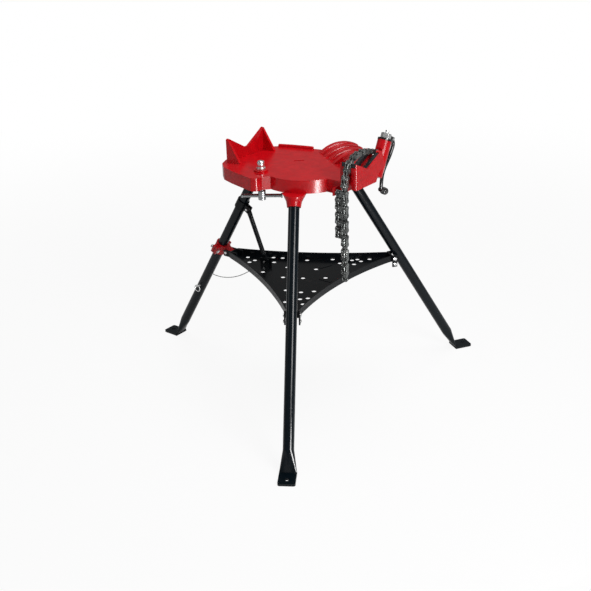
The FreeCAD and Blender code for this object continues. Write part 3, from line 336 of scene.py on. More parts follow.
def thread(name, radius, depth, pitch, low, high, steps=28):
    """A V thread wound up Z from low to high, with its root just inside the rod."""
    turns = max(1, int((high - low) / pitch) - 1)
    deselect()
    bpy.ops.mesh.primitive_circle_add(vertices=3, radius=depth, fill_type="NOTHING",
                                      rotation=(math.radians(90), math.radians(90), 0))
    obj = context_object(name)
    bake_place(obj)
    bpy.ops.object.mode_set(mode="EDIT")
    bpy.ops.mesh.select_all(action="SELECT")
    obj.update_from_editmode()
    wide = max(v.co.x for v in obj.data.vertices)
    if sum(v.co.x > wide - depth * 0.01 for v in obj.data.vertices) > 1:
        bpy.ops.transform.resize(value=(-1, 1, 1), center_override=(0, 0, 0))
        obj.update_from_editmode()
        wide = max(v.co.x for v in obj.data.vertices)
    tall = max(v.co.z for v in obj.data.vertices) - min(v.co.z for v in obj.data.vertices)
    bpy.ops.transform.resize(value=(1, 1, pitch * 0.86 / tall), center_override=(0, 0, 0))
    bpy.ops.transform.translate(value=(radius - wide, 0, low + pitch * 0.5))
    bpy.ops.object.mode_set(mode="OBJECT")
    bpy.ops.object.modifier_add(type="SCREW")
    wind = obj.modifiers[-1]
    wind.axis, wind.screw_offset, wind.iterations = "Z", pitch, turns
    wind.steps = wind.render_steps = steps
    wind.use_merge_vertices = False
    bpy.ops.object.modifier_apply(modifier=wind.name)
    bpy.ops.object.mode_set(mode="EDIT")
    bpy.ops.mesh.select_all(action="DESELECT")
    bpy.ops.mesh.select_non_manifold()
    bpy.ops.mesh.fill()
    face_outwards()
    return obj


def solids_of(node):
    """The separate solids of a model part: centre, axis, radius and length of each."""
    mesh = bmesh.new()
    mesh.from_mesh(frame["nodes"][node].data)
    bmesh.ops.remove_doubles(mesh, verts=mesh.verts, dist=1e-6)
    # Dicts and not sets, because they keep their order, so every run finds the same
    left, found = dict.fromkeys(mesh.verts), []
    while left:
        first, _ = left.popitem()
        group, edge = {first: None}, [first]
        while edge:
            v = edge.pop()
            for e in v.link_edges:
                w = e.other_vert(v)
                if w in left:
                    del left[w]
                    group[w] = None
                    edge.append(w)
        areas = {}
        for f in dict.fromkeys(f for v in group for f in v.link_faces):
            strongest = max(f.normal, key=abs)
            n = f.normal if strongest > 0 else -f.normal
            key = tuple(round(c, 2) for c in n)
            share = areas.setdefault(key, [0.0, Vector()])
            share[0] += f.calc_area()
            share[1] += n * f.calc_area()
        axis = max(areas.values(), key=lambda a: a[0])[1].normalized()
        along = [v.co.dot(axis) for v in group]
        mid = sum((v.co for v in group), Vector()) / len(group)
        flat = mid - axis * mid.dot(axis)
        found.append((flat + axis * (min(along) + max(along)) / 2, axis,
                      max((v.co - axis * v.co.dot(axis) - flat).length for v in group),
                      max(along) - min(along)))
    mesh.free()
    return found


def stand_on(place, axis, spin=0.0):
    """The matrix that sets a piece turned about Z onto an axis at a place."""
    turn = Vector((0, 0, 1)).rotation_difference(axis).to_matrix().to_4x4()
    return Matrix.Translation(place) @ turn @ Matrix.Rotation(spin, 4, "Z")


def hex_head(name, radius, height):
    """A six-sided head with its top corners turned off and a shallow cup."""
    deselect()
    bpy.ops.mesh.primitive_cylinder_add(vertices=6, radius=radius, depth=height,
                                        location=(0, 0, height / 2))
    obj = context_object(name)
    bake_place(obj)
    bpy.ops.object.mode_set(mode="EDIT")
    select_where(obj, lambda c: c.z > height * 0.9)
    bpy.ops.mesh.inset(thickness=radius * 0.10, depth=0)
    bpy.ops.mesh.inset(thickness=radius * 0.28, depth=-height * 0.08)
    bpy.ops.object.mode_set(mode="OBJECT")
    round_off(radius * 0.06, 2, 30)
    smooth(obj, 30)
    return obj


def hand_over(obj, node):
    """Puts a new piece in place of the model part, on its body and in its finish."""
    DRESSED[node] = obj
    paint(obj, FINISH[PARTS[node]["material_slot"]])
    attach(obj, BODY_OF[node])
    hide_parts(node)


# ---------------------------------------------------------------- effect groups

def new_group(name, inputs, outputs):
    """An empty effect group: its tree, and its nodes for what goes in and comes out."""
    tree = bpy.data.node_groups.new(name, "ShaderNodeTree")
    for label, kind, value in inputs:
        socket = tree.interface.new_socket(label, in_out="INPUT", socket_type=kind)
        if value is not None:
            socket.default_value = value
    for label, kind in outputs:
        tree.interface.new_socket(label, in_out="OUTPUT", socket_type=kind)
    return tree, tree.nodes.new("NodeGroupInput"), tree.nodes.new("NodeGroupOutput")


def noise(tree, vector, scale, detail=2.0, rough=0.5):
    """Clouds of noise. The scale is a number or a socket."""
    node = tree.nodes.new("ShaderNodeTexNoise")
    node.inputs["Detail"].default_value = detail
    node.inputs["Roughness"].default_value = rough
    tree.links.new(vector, node.inputs["Vector"])
    if isinstance(scale, (int, float)):
        node.inputs["Scale"].default_value = scale
    else:
        tree.links.new(scale, node.inputs["Scale"])
    return node.outputs["Fac"]


def maths(tree, operation, a, b=None, c=None, clamp=False):
    """One sum of numbers or sockets."""
    node = tree.nodes.new("ShaderNodeMath")
    node.operation = operation
    node.use_clamp = clamp
    for socket, value in zip(node.inputs, (a, b, c)):
        if value is None:
            continue
        if isinstance(value, (int, float)):
            socket.default_value = value
        else:
            tree.links.new(value, socket)
    return node.outputs[0]


def remap(tree, value, low, high, to_low=0.0, to_high=1.0):
    """Spreads a value softly from one range onto another."""
    node = tree.nodes.new("ShaderNodeMapRange")
    node.interpolation_type = "SMOOTHSTEP"
    for label, v in (("Value", value), ("From Min", low), ("From Max", high),
                     ("To Min", to_low), ("To Max", to_high)):
        if isinstance(v, (int, float)):
            node.inputs[label].default_value = v
        else:
            tree.links.new(v, node.inputs[label])
    return node.outputs["Result"]


def mix_colour(tree, factor, a, b):
    """Blends two colours, each written out or taken from a socket."""
    node = tree.nodes.new("ShaderNodeMix")
    node.data_type = "RGBA"
    for socket, value in ((node.inputs[0], factor), (node.inputs[6], a), (node.inputs[7], b)):
        if isinstance(value, (int, float)):
            socket.default_value = value
        elif isinstance(value, bpy.types.NodeSocket):
            tree.links.new(value, socket)
        else:
            socket.default_value = tuple(value)[:3] + (1.0,)
    return node.outputs[2]


def stretched(tree, vector, scale):
    """Coordinates drawn out, so that a pattern runs long one way."""
    node = tree.nodes.new("ShaderNodeMapping")
    node.inputs["Scale"].default_value = scale
    tree.links.new(vector, node.inputs["Vector"])
    return node.outputs["Vector"]


VECTOR, VALUE = "NodeSocketVector", "NodeSocketFloat"


def group_cast_skin():
    """Cast skin: long lumps of a sand mould under a fine orange peel of enamel."""
    t, gin, gout = new_group("cast_skin", [("Vector", VECTOR, None), ("Lump Scale", VALUE, 45.0),
                                           ("Peel Scale", VALUE, 420.0),
                                           ("Peel Share", VALUE, 0.25)],
                             [("Height", VALUE), ("Lumps", VALUE)])
    lumps = noise(t, gin.outputs["Vector"], gin.outputs["Lump Scale"], 3.0)
    peel = noise(t, gin.outputs["Vector"], gin.outputs["Peel Scale"], 1.0)
    part = maths(t, "MULTIPLY", peel, gin.outputs["Peel Share"])
    t.links.new(maths(t, "ADD", lumps, part), gout.inputs["Height"])
    t.links.new(lumps, gout.inputs["Lumps"])


def group_paint_wear():
    """Paint wear: small chips where two noises agree."""
    t, gin, gout = new_group("paint_wear", [("Vector", VECTOR, None),
                                            ("Patch Scale", VALUE, 14.0),
                                            ("Chip Scale", VALUE, 260.0),
                                            ("Amount", VALUE, 0.1)],
                             [("Mask", VALUE)])
    patch = noise(t, gin.outputs["Vector"], gin.outputs["Patch Scale"], 4.0, 0.6)
    chip = noise(t, gin.outputs["Vector"], gin.outputs["Chip Scale"], 2.0, 0.7)
    both = maths(t, "MULTIPLY", patch, chip)
    edge = maths(t, "SUBTRACT", 0.46, maths(t, "MULTIPLY", gin.outputs["Amount"], 0.5))
    t.links.new(remap(t, both, edge, maths(t, "ADD", edge, 0.02)), gout.inputs["Mask"])


def group_rub_marks():
    """Rub marks: long thin strokes of handling, along one way of the piece."""
    t, gin, gout = new_group("rub_marks", [("Vector", VECTOR, None), ("Scale", VALUE, 60.0),
                                           ("Amount", VALUE, 0.5)], [("Mask", VALUE)])
    along = noise(t, stretched(t, gin.outputs["Vector"], (1.0, 1.0, 0.08)),
                  gin.outputs["Scale"], 5.0, 0.65)
    across = noise(t, stretched(t, gin.outputs["Vector"], (0.1, 1.0, 1.0)),
                   gin.outputs["Scale"], 5.0, 0.65)
    strokes = maths(t, "MAXIMUM", along, across)
    t.links.new(maths(t, "MULTIPLY", remap(t, strokes, 0.56, 0.72), gin.outputs["Amount"]),
                gout.inputs["Mask"])


def group_shop_grime():
    """Dust and grease: broad soft clouds with a finer break-up."""
    t, gin, gout = new_group("shop_grime", [("Vector", VECTOR, None), ("Scale", VALUE, 9.0),
                                            ("Amount", VALUE, 0.4)], [("Mask", VALUE)])
    cloud = noise(t, gin.outputs["Vector"], gin.outputs["Scale"], 5.0, 0.6)
    finer = maths(t, "MULTIPLY", gin.outputs["Scale"], 11.0)
    fine = noise(t, gin.outputs["Vector"], finer, 3.0, 0.6)
    soft = maths(t, "MULTIPLY", remap(t, cloud, 0.42, 0.66), maths(t, "ADD", 0.4, fine))
    t.links.new(maths(t, "MULTIPLY", soft, gin.outputs["Amount"], clamp=True),
                gout.inputs["Mask"])


def use_group(tree, name, vector, **values):
    """Puts an effect group into a material with its own values."""
    node = tree.nodes.new("ShaderNodeGroup")
    node.node_tree = bpy.data.node_groups[name]
    tree.links.new(vector, node.inputs["Vector"])
    for label, value in values.items():
        node.inputs[label.replace("_", " ")].default_value = value
    return node.outputs


def finish(name, colour, worn, grime, roughness, metallic=0.0, coat=0.0, coat_rough=0.1,
           lump=45.0, peel=420.0, peel_share=0.25, relief=0.0004, chips=0.1, chip_metal=0.0,
           rubs=0.3, dirt=0.3, dirt_scale=9.0, specular=0.5):
    """One finish: base colour, worn colour, grime, roughness spread, relief in metres."""
    mat = bpy.data.materials.new(name)
    mat.use_nodes = True
    t = mat.node_tree
    shader = next(n for n in t.nodes if n.type == "BSDF_PRINCIPLED")
    where = t.nodes.new("ShaderNodeTexCoord").outputs["Object"]
    skin = use_group(t, "cast_skin", where, Lump_Scale=lump, Peel_Scale=peel,
                     Peel_Share=peel_share)
    wear = use_group(t, "paint_wear", where, Amount=chips)["Mask"]
    rub = use_group(t, "rub_marks", where, Amount=rubs)["Mask"]
    mucky = use_group(t, "shop_grime", where, Scale=dirt_scale, Amount=dirt)["Mask"]
    tone = mix_colour(t, remap(t, skin["Lumps"], 0.3, 0.7), [c * 0.9 for c in colour],
                      [min(1.0, c * 1.08) for c in colour])
    tone = mix_colour(t, mucky, tone, grime)
    tone = mix_colour(t, wear, tone, worn)
    t.links.new(tone, shader.inputs["Base Color"])
    low, high = roughness
    rough = maths(t, "ADD", low, maths(t, "MULTIPLY", rub, high - low))
    rough = maths(t, "ADD", rough, maths(t, "MULTIPLY", mucky, 0.35), clamp=True)
    t.links.new(rough, shader.inputs["Roughness"])
    if chip_metal != metallic:
        t.links.new(remap(t, wear, 0.0, 1.0, metallic, chip_metal), shader.inputs["Metallic"])
    else:
        shader.inputs["Metallic"].default_value = metallic
    shader.inputs["Specular IOR Level"].default_value = specular
    if coat:
        covered = maths(t, "MAXIMUM", wear, maths(t, "MULTIPLY", mucky, 0.8))
        bare = maths(t, "SUBTRACT", 1.0, covered)
        t.links.new(maths(t, "MULTIPLY", bare, coat), shader.inputs["Coat Weight"])
        shader.inputs["Coat Roughness"].default_value = coat_rough
    bump = t.nodes.new("ShaderNodeBump")
    bump.inputs["Strength"].default_value = 1.0
    bump.inputs["Distance"].default_value = relief
    height = maths(t, "SUBTRACT", skin["Height"], maths(t, "MULTIPLY", wear, 0.4))
    t.links.new(height, bump.inputs["Height"])
    t.links.new(bump.outputs["Normal"], shader.inputs["Normal"])
    return mat


def build_finishes(c):
    """The finish of each material slot, and the dull zinc of the ceiling brace."""
    m = {}
    m["red_cast"] = finish("red_enamel", c.enamel, (0.10, 0.02, 0.018), (0.34, 0.006, 0.010),
                           (0.28, 0.44), coat=0.42, coat_rough=0.19, specular=0.10,
                           relief=0.0002, chips=0.05, rubs=0.5, dirt=0.22)
    m["red_collar"] = finish("red_enamel_collar", [v * 0.72 for v in c.enamel],
                             (0.12, 0.03, 0.025), (0.24, 0.005, 0.008), (0.26, 0.45),
                             coat=0.25, coat_rough=0.09, specular=0.3, lump=90.0,
                             relief=0.0003, chips=0.14, rubs=0.6, dirt=0.3)
    m["leg_black"] = finish("leg_paint", c.leg_paint, (0.10, 0.10, 0.10), (0.020, 0.020, 0.019),
                            (0.16, 0.30), coat=0.2, coat_rough=0.11, lump=60.0, peel=500.0,
                            relief=0.000012, chips=0.02, chip_metal=0.8, rubs=0.5, dirt=0.06,
                            specular=0.15)
    m["tray_black"] = finish("tray_paint", c.tray_paint, (0.14, 0.13, 0.12),
                             (0.020, 0.019, 0.018), (0.22, 0.42), coat=0.12, coat_rough=0.12,
                             lump=70.0, peel=450.0, relief=0.00006, chips=0.07,
                             chip_metal=0.8, rubs=0.7, dirt=0.14, specular=0.14)
    m["jaw_black"] = finish("jaw_steel", c.tool_steel, (0.20, 0.19, 0.18), (0.02, 0.018, 0.016),
                            (0.34, 0.55), metallic=0.6, chip_metal=0.95, lump=160.0,
                            peel=900.0, relief=0.00015, chips=0.12, rubs=0.5, dirt=0.4)
    m["zinc"] = finish("zinc_plate", c.plating, (0.55, 0.53, 0.48), (0.42, 0.41, 0.38),
                       (0.20, 0.36), metallic=0.86, chip_metal=0.9, lump=200.0, peel=1400.0,
                       relief=0.00005, chips=0.08, rubs=0.8, dirt=0.2, dirt_scale=30.0)
    m["dull_zinc"] = finish("dull_zinc", (0.34, 0.35, 0.36), (0.20, 0.19, 0.18),
                            (0.10, 0.095, 0.09), (0.18, 0.36), metallic=0.85,
                            chip_metal=0.9, lump=200.0, peel=1400.0, relief=0.00005,
                            chips=0.08, rubs=0.8, dirt=0.35, dirt_scale=30.0)
    m["chain_steel"] = finish("chain_steel", c.chain, (0.46, 0.46, 0.44), (0.012, 0.013, 0.013),
                              (0.20, 0.46), metallic=0.85, chip_metal=1.0, lump=220.0,
                              peel=1200.0, relief=0.00012, chips=0.24, rubs=0.8, dirt=0.95,
                              dirt_scale=55.0)
    m["black_oxide"] = finish("forged_black", c.forged, (0.16, 0.15, 0.14),
                              (0.010, 0.010, 0.010), (0.20, 0.38), metallic=0.1,
                              chip_metal=0.9, coat=0.3, coat_rough=0.10, lump=130.0,
                              peel=800.0, relief=0.00006, chips=0.03, rubs=0.6, dirt=0.1)
    m["knob_black"] = finish("knob_plastic", (0.014, 0.014, 0.014), (0.05, 0.05, 0.05),
                             (0.05, 0.048, 0.045), (0.18, 0.36), coat=0.3, coat_rough=0.1,
                             lump=60.0, peel=600.0, relief=0.00006, chips=0.04, rubs=0.7,
                             dirt=0.3, dirt_scale=25.0)
    return m


FINISH = {}      # the finish of each material slot
DRESSED = {}     # the new piece that stands for each model part


# ---------------------------------------------------------------- operators

class STAND_OT_camera(bpy.types.Operator):
    """Sets up the camera at its viewing angle"""
    bl_idname = "stand.camera"
    bl_label = "Camera"

    def execute(self, context):
        c = context.scene.stand_camera
        toward = Vector((math.cos(c.azimuth) * math.cos(c.elevation),
                         math.sin(c.azimuth) * math.cos(c.elevation), math.sin(c.elevation)))
        right = Vector((-math.sin(c.azimuth), math.cos(c.azimuth), 0.0))
        up = toward.cross(right)
        across = right * math.cos(c.roll) + up * math.sin(c.roll)
        above = up * math.cos(c.roll) - right * math.sin(c.roll)
        turn = Matrix((across, above, toward)).transposed().to_4x4()
        lens = bpy.data.cameras.new("camera")
        lens.lens, lens.sensor_width, lens.clip_end = c.lens, 36.0, 50.0
        eye = bpy.data.objects.new("camera", lens)
        eye.matrix_world = Matrix.Translation(Vector(c.aim) + toward * c.distance) @ turn
        context.scene.collection.objects.link(eye)
        context.scene.camera = eye
        return {"FINISHED"}


class STAND_OT_lanyard(bpy.types.Operator):
    """Links the light lanyard chain along its sagging route"""
    bl_idname = "stand.lanyard"
    bl_label = "Lanyard Chain"

    def sag_line(self, context):
        """Places along the smooth line that the route draws."""
        line = bpy.data.curves.new("lanyard_line", "CURVE")
        line.dimensions = "3D"
        spline = line.splines.new("NURBS")
        spline.points.add(len(LANYARD_ROUTE) - 1)
        for point, place in zip(spline.points, LANYARD_ROUTE):
            point.co = (*place, 1.0)
        spline.order_u = 3
        spline.use_endpoint_u = True
        spline.resolution_u = 24
        guide = bpy.data.objects.new("lanyard_line", line)
        context.scene.collection.objects.link(guide)
        context.view_layer.update()
        sampled = bpy.data.meshes.new_from_object(guide)
        path = [v.co.copy() for v in sampled.vertices]
        bpy.data.objects.remove(guide)
        bpy.data.meshes.remove(sampled)
        return path

    def model_link(self, wire, pitch):
        """One link: a ring drawn out along its length."""
        deselect()
        reach = pitch / 2 - wire * 0.1
        bend = 1.22 * MM
        bpy.ops.mesh.primitive_torus_add(major_segments=12, minor_segments=6,
                                         major_radius=bend, minor_radius=wire / 2)
        link = context_object("lanyard_link")
        bpy.ops.object.mode_set(mode="EDIT")
        for side in (-1, 1):
            select_where(link, lambda c: c.x * side > 0.2 * bend)
            bpy.ops.transform.translate(value=(side * (reach - bend + wire / 2), 0, 0))
        bpy.ops.object.mode_set(mode="OBJECT")
        return link

    def string_links(self, link, path, pitch):
        """Copies set one after another along the line, each a quarter turn from the last."""
        steps = [0.0]
        for a, b in zip(path, path[1:]):
            steps.append(steps[-1] + (b - a).length)
        count = round(steps[-1] / pitch)
        links = []
        for i in range(count):
            at = steps[-1] * (i + 0.5) / count
            k = max(j for j in range(len(steps) - 1) if steps[j] <= at)
            along = (path[k + 1] - path[k]).normalized()
            place = path[k] + along * (at - steps[k])
            side = along.cross(Vector((0, 0, 1))).normalized()
            turn = Matrix((along, side, along.cross(side))).transposed().to_4x4()
            spin = Matrix.Rotation(math.radians(90 * (i % 2) + 20), 4, "X")
            links.append(copy_at(link, Matrix.Translation(place) @ turn @ spin))
        bpy.data.objects.remove(link)
        return join(links, "lanyard_chain")

    def execute(self, context):
        s = context.scene.stand_sizes
        path = self.sag_line(context)
        link = self.model_link(s.lanyard_wire, s.lanyard_pitch)
        chain = self.string_links(link, path, s.lanyard_pitch)
        smooth(chain, 60)
        paint(chain, FINISH["chain_steel"])
        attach(chain, "stand")
        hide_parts("lanyard")
        return {"FINISHED"}


class STAND_OT_castings(bpy.types.Operator):
    """Rounds the edges of the castings and the pressed parts"""
    bl_idname = "stand.castings"
    bl_label = "Rounded Parts"

    def on_lip(self, place, top):
        """Whether a place is on top of the lip on the far edge of the table."""
        return (abs(place.z - top) < NEAR and place.y > LIP_NEAR_Y
                and place.x < LIP_END_X)

    def round_lip(self, obj):
        """Lowers the lip on the far edge of the table and gives it a full round."""
        sizes = bpy.context.scene.stand_sizes
        top = max(v.co.z for v in obj.data.vertices
                  if v.co.y > LIP_FAR_Y and v.co.x < LIP_END_X)
        bpy.ops.object.mode_set(mode="EDIT")
        select_where(obj, lambda c: self.on_lip(c, top))
        bpy.ops.transform.translate(value=(0, 0, -sizes.lip_drop))
        top -= sizes.lip_drop
        bpy.ops.mesh.select_mode(type="EDGE")
        bpy.ops.mesh.select_all(action="DESELECT")
        mesh = bmesh.from_edit_mesh(obj.data)
        for e in mesh.edges:
            a, b = (v.co for v in e.verts)
            on_top = abs(a.z - b.z) < NEAR and self.on_lip((a + b) / 2, top)
            if on_top and len(e.link_faces) == 2 and e.calc_face_angle() > 0.5:
                e.select = True
        bmesh.update_edit_mesh(obj.data)
        bpy.ops.mesh.bevel(offset=sizes.lip_round, segments=4, profile=0.5, affect="EDGES",
                           clamp_overlap=True)
        bpy.ops.object.mode_set(mode="OBJECT")

    def execute(self, context):
        for node, (name, radius) in EASED.items():
            first = self.round_lip if node == "head_casting" else None
            hand_over(eased(node, name, radius * MM, before=first), node)
        return {"FINISHED"}


class STAND_OT_chain(bpy.types.Operator):
    """Fills every other link of the vise chain with a waisted centre plate"""
    bl_idname = "stand.chain"
    bl_label = "Chain Centre Plates"

    def model_plate(self, pitch, radius, thick, waist=0.74):
        """A disc drawn out to the next pin and drawn in at its middle."""
        deselect()
        bpy.ops.mesh.primitive_cylinder_add(vertices=20, radius=radius, depth=thick)
        plate = context_object("centre_plate")
        bpy.ops.object.mode_set(mode="EDIT")
        for side in (-1, 1):
            select_where(plate, lambda c: c.x * side > NEAR)
            bpy.ops.transform.translate(value=(side * pitch / 2, 0, 0))
        bpy.ops.mesh.select_all(action="SELECT")
        bpy.ops.mesh.bisect(plane_co=(0, 0, 0), plane_no=(1, 0, 0))
        select_where(plate, lambda c: abs(c.x) < NEAR)
        bpy.ops.transform.resize(value=(1, waist, 1), center_override=(0, 0, 0))
        bpy.ops.object.mode_set(mode="OBJECT")
        round_off(0.5 * MM, 1, 50)
        return plate

    def execute(self, context):
        s = context.scene.stand_sizes
        runs = ("chain_lay", "chain_upper", "chain_lower", "chain_tail")
        outer_plate = 7.5 * MM          # outer link plates stand at least this far out
        across = Vector((1, 0, 0))      # the way that all pins of the chain point
        pins = [solid[0] for run in runs for solid in solids_of(run + "_pins")]
        pitch = min((a - b).length for i, a in enumerate(pins) for b in pins[i + 1:])
        plate = self.model_plate(pitch, s.plate_radius, s.plate_thick)
        for run in runs:
            centres = [solid[0] for solid in solids_of(run + "_links")]
            middle = sum(c.x for c in centres) / len(centres)
            pieces = []
            for centre in centres:
                if centre.x - middle < outer_plate:
                    continue
                place = Vector((middle, centre.y, centre.z))
                a, b = sorted(pins, key=lambda pin: (pin - place).length)[:2]
                along = (b - a).normalized()
                turn = Matrix((along, across.cross(along), across)).transposed().to_4x4()
                pieces.append(copy_at(plate, Matrix.Translation(place) @ turn))
            filled = join(pieces, "centre_plates_" + run)
            smooth(filled, 40)
            paint(filled, FINISH["chain_steel"])
            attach(filled, BODY_OF[run + "_links"])
        bpy.data.objects.remove(plate)
        return {"FINISHED"}


class STAND_OT_bolts(bpy.types.Operator):
    """Sets hexagon bolts in the tray clips and the rear collar"""
    bl_idname = "stand.bolts"
    bl_label = "Hexagon Bolts"

    def set_clip_bolts(self, node):
        """A washer and a hexagon for each bolt of a tray clip, facing outwards."""
        solids = solids_of(node)
        middle = sum((solid[0] for solid in solids), Vector()) / len(solids)
        radius, length = solids[0][2], solids[0][3]
        washer = lathe("clip_washer", [(radius * 0.995, 0), (radius * 0.995, length * 0.22),
                                       (radius * 0.9, length * 0.30)], 36)
        head = hex_head("clip_head", radius * 0.93, length * 0.70)
        head.data.transform(Matrix.Translation((0, 0, length * 0.28)))
        bolt = join([washer, head], "clip_bolt")
        pieces = []
        for i, (centre, axis, _, long) in enumerate(solids):
            if (centre - middle).dot(axis) < 0:
                axis = -axis
            pieces.append(copy_at(bolt, stand_on(centre - axis * long / 2, axis, 0.3 + i)))
        bpy.data.objects.remove(bolt)
        hand_over(join(pieces, "hex_" + node), node)

    def set_collar_bolts(self, node):
        """Bolts through both halves of the rear collar, with the head on the low side."""
        flats, head_high, nut_high = 6.45 * MM, 4.9 * MM, 5.6 * MM
        under_head, shank_from, nut_from = 4.95 * MM, 4.2 * MM, 31.7 * MM
        head = hex_head("collar_head", flats, head_high)
        nut = hex_head("collar_nut", flats, nut_high)
        shank = lathe("collar_shank", [(3.0 * MM, 0), (3.4 * MM, 0.5 * MM), (3.4 * MM, 30 * MM),
                                       (2.8 * MM, 31 * MM)], 24)
        pieces = []
        for centre, axis, _, long in solids_of(node):
            if axis.z > 0:
                axis = -axis
            low = centre - axis * long / 2
            pieces.append(copy_at(head, stand_on(low + axis * under_head, -axis, 0.4)))
            pieces.append(copy_at(nut, stand_on(low + axis * nut_from, axis, 1.1)))
            pieces.append(copy_at(shank, stand_on(low + axis * shank_from, axis)))
        for model in (head, nut, shank):
            bpy.data.objects.remove(model)
        hand_over(join(pieces, "hex_" + node), node)

    def execute(self, context):
        self.set_clip_bolts("clip_bolts_left")
        self.set_clip_bolts("clip_bolts_right")
        self.set_collar_bolts("collar_bolts")
        return {"FINISHED"}


class STAND_OT_screws(bpy.types.Operator):
    """Turns the brace nose and winds the thread on the brace screw"""
    bl_idname = "stand.screws"
    bl_label = "Brace Screw and Nose"

    def turn_nose(self):
        """A flanged cap with a domed end."""
        low, high = (Vector(p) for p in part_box("brace_nose"))
        centre = Vector(((low.x + high.x) / 2, (low.y + high.y) / 2, low.z))
        tall = high.z - low.z
        nose = lathe("domed_brace_nose", [
            (13.8 * MM, 0), (14.9 * MM, 1.1 * MM), (14.9 * MM, 5.6 * MM), (13.8 * MM, 6.8 * MM),
            (12.2 * MM, 7.0 * MM), (11.6 * MM, 7.6 * MM), (11.6 * MM, 8.6 * MM),
            (11.95 * MM, 9.2 * MM), (11.95 * MM, tall - 7.5 * MM), (11.5 * MM, tall - 4.4 * MM),
            (10.1 * MM, tall - 2.1 * MM), (7.6 * MM, tall - 0.7 * MM),
            (4.2 * MM, tall - 0.1 * MM), (2.0 * MM, tall)], 56)
        nose.data.transform(Matrix.Translation(centre))
        hand_over(nose, "brace_nose")

    def wind_screw(self):
        """The shank is turned down to the root, and a thread is wound on it."""
        s = bpy.context.scene.stand_sizes
        low, high = (Vector(p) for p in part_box("brace_screw"))
        x, y = (low.x + high.x) / 2, (low.y + high.y) / 2
        rod, root = 8.5 * MM, 7.35 * MM
        barrel_top, shank_from = low.z + 30 * MM, low.z + 25 * MM
        thread_top = low.z + 101 * MM
        free = 0.4 * MM                 # keeps the barrel off the boss at the top of its travel

        def turn_down(obj):
            bpy.ops.object.mode_set(mode="EDIT")
            select_where(obj, lambda c: abs(math.hypot(c.x - x, c.y - y) - rod) < 0.2 * MM
                         and c.z > shank_from)
            bpy.ops.transform.resize(value=(root / rod, root / rod, 1), center_override=(x, y, 0))
            select_where(obj, lambda c: abs(c.z - barrel_top) < NEAR)
            bpy.ops.transform.translate(value=(0, 0, -free))
            bpy.ops.object.mode_set(mode="OBJECT")

        screw = eased("brace_screw", "threaded_brace_screw", 0.9 * MM, before=turn_down)
        wound = thread("brace_thread", rod - 0.22 * MM, s.thread_depth, s.thread_pitch,
                       barrel_top, thread_top)
        wound.data.transform(Matrix.Translation((x, y, 0)))
        hand_over(join([screw, wound], "threaded_brace_screw"), "brace_screw")

    def execute(self, context):
        self.turn_nose()
        self.wind_screw()
        for node in ("brace_screw", "brace_bar", "brace_bar_ends"):
            paint(DRESSED[node], FINISH["dull_zinc"])
        return {"FINISHED"}


class STAND_OT_finishes(bpy.types.Operator):
    """Gives every part of the model its finish"""
    bl_idname = "stand.finishes"
    bl_label = "Finishes"

    def execute(self, context):
        for part in frame["record"]["subparts"]:
            paint(frame["nodes"][part["node"]], FINISH[part["material_slot"]])
        return {"FINISHED"}


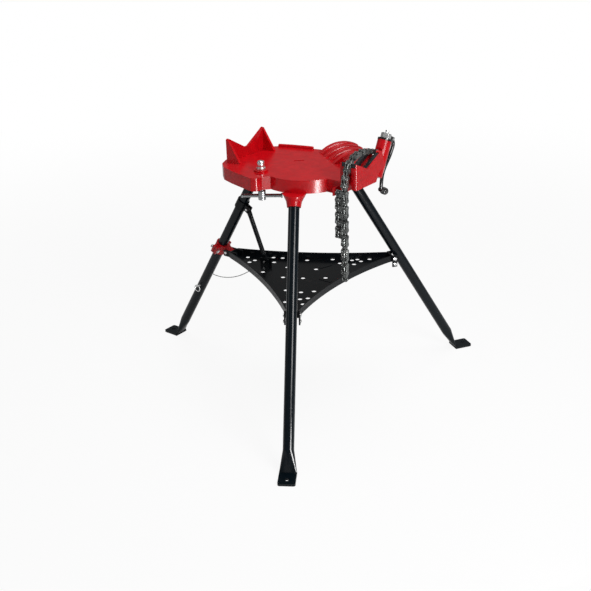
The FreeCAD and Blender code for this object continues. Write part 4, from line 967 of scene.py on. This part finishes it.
class STAND_OT_studio(bpy.types.Operator):
    """Lays the pale floor and hangs the soft lamps"""
    bl_idname = "stand.studio"
    bl_label = "Studio"

    def lay_floor(self, colour):
        """Pale paper that keeps the shadow and fades into white far out."""
        deselect()
        bpy.ops.mesh.primitive_plane_add(size=80, location=(0, 0, 0))
        floor = context_object("studio_floor")
        mat = bpy.data.materials.new("studio_paper")
        mat.use_nodes = True
        t = mat.node_tree
        shader = next(n for n in t.nodes if n.type == "BSDF_PRINCIPLED")
        out = next(n for n in t.nodes if n.type == "OUTPUT_MATERIAL")
        where = t.nodes.new("ShaderNodeTexCoord").outputs["Object"]
        tone = mix_colour(t, noise(t, where, 2.0, 4.0), [c * 0.985 for c in colour], colour)
        t.links.new(tone, shader.inputs["Base Color"])
        shader.inputs["Roughness"].default_value = 0.9
        shader.inputs["Specular IOR Level"].default_value = 0.1
        glow = t.nodes.new("ShaderNodeEmission")
        glow.inputs["Strength"].default_value = 1.0
        glow.inputs["Color"].default_value = (1, 1, 1, 1)
        ray = t.nodes.new("ShaderNodeLightPath")
        mirrored = maths(t, "MULTIPLY", ray.outputs["Is Glossy Ray"], MIRRORED_WHITE)
        shown = maths(t, "MAXIMUM", ray.outputs["Is Camera Ray"], mirrored)
        far = t.nodes.new("ShaderNodeVectorMath")
        far.operation = "LENGTH"
        t.links.new(where, far.inputs[0])
        seen = maths(t, "MULTIPLY", shown, remap(t, far.outputs["Value"], 0.9, 4.0, 0.90, 1.0))
        blend = t.nodes.new("ShaderNodeMixShader")
        t.links.new(seen, blend.inputs[0])
        t.links.new(shader.outputs[0], blend.inputs[1])
        t.links.new(glow.outputs[0], blend.inputs[2])
        t.links.new(blend.outputs[0], out.inputs["Surface"])
        paint(floor, mat)

    def light_room(self, scene):
        """White where the camera looks, and dim and even as a light."""
        world = bpy.data.worlds.new("studio")
        scene.world = world
        world.use_nodes = True
        w = world.node_tree
        back = next(n for n in w.nodes if n.type == "BACKGROUND")
        ray = w.nodes.new("ShaderNodeLightPath")
        back.inputs["Color"].default_value = (1, 1, 1, 1)
        mirrored = maths(w, "MULTIPLY", ray.outputs["Is Glossy Ray"], MIRRORED_WHITE)
        shown = maths(w, "MAXIMUM", ray.outputs["Is Camera Ray"], mirrored)
        w.links.new(maths(w, "MAXIMUM", shown, OPEN_SKY), back.inputs["Strength"])

    def hang_lamps(self, scene):
        """Each lamp: name, place, aim, width and height, watts."""
        for name, place, aim, size, power in (
                ("key_lamp", (2.95, -1.0, 2.1), (0, 0, 0.6), (1.3, 1.3), 76.0),
                ("fill_lamp", (-2.0, -2.6, 1.9), (0, 0, 0.5), (1.5, 1.2), 9.0),
                ("top_lamp", (0.1, 0.5, 3.2), (0, 0, 0.7), (2.0, 1.4), 46.0),
                ("strip_lamp", (1.27, -0.56, 0.22), (0.1, -0.05, 0.75), (0.28, 0.60), 24.0)):
            data = bpy.data.lights.new(name, "AREA")
            data.shape, data.size, data.size_y, data.energy = "RECTANGLE", *size, power
            lamp = bpy.data.objects.new(name, data)
            lamp.location = place
            away = Vector(place) - Vector(aim)
            lamp.rotation_euler = away.to_track_quat("Z", "Y").to_euler()
            lamp.visible_camera = False
            lamp.visible_diffuse = name != "strip_lamp"    # it only draws a highlight
            scene.collection.objects.link(lamp)

    def execute(self, context):
        self.lay_floor(context.scene.stand_colours.floor)
        self.light_room(context.scene)
        self.hang_lamps(context.scene)
        context.scene.view_settings.view_transform = "Standard"
        return {"FINISHED"}


class STAND_PT_panel(bpy.types.Panel):
    """Lists the steps that dress the stand"""
    bl_idname = "STAND_PT_panel"
    bl_label = "Tripod Pipe Vise Stand"
    bl_space_type = "VIEW_3D"
    bl_region_type = "UI"
    bl_category = "Vise Stand"

    def draw(self, context):
        for step in OPERATORS:
            self.layout.operator(step.bl_idname)


SETTINGS = (StandCameraSettings, StandSizeSettings, StandColourSettings)
OPERATORS = (STAND_OT_camera, STAND_OT_lanyard, STAND_OT_castings, STAND_OT_chain,
             STAND_OT_bolts, STAND_OT_screws, STAND_OT_finishes, STAND_OT_studio)


def register():
    for cls in SETTINGS + OPERATORS + (STAND_PT_panel,):
        bpy.utils.register_class(cls)
    bpy.types.Scene.stand_camera = bpy.props.PointerProperty(type=StandCameraSettings)
    bpy.types.Scene.stand_sizes = bpy.props.PointerProperty(type=StandSizeSettings)
    bpy.types.Scene.stand_colours = bpy.props.PointerProperty(type=StandColourSettings)


def unregister():
    del bpy.types.Scene.stand_colours
    del bpy.types.Scene.stand_sizes
    del bpy.types.Scene.stand_camera
    for cls in reversed(SETTINGS + OPERATORS + (STAND_PT_panel,)):
        bpy.utils.unregister_class(cls)


def main():
    register()
    group_cast_skin()
    group_paint_wear()
    group_rub_marks()
    group_shop_grime()
    FINISH.update(build_finishes(bpy.context.scene.stand_colours))
    bpy.ops.stand.camera()
    bpy.ops.stand.lanyard()
    bpy.ops.stand.castings()
    bpy.ops.stand.chain()
    bpy.ops.stand.bolts()
    bpy.ops.stand.screws()
    bpy.ops.stand.finishes()
    bpy.ops.stand.studio()


if __name__ == "__main__":
    main()
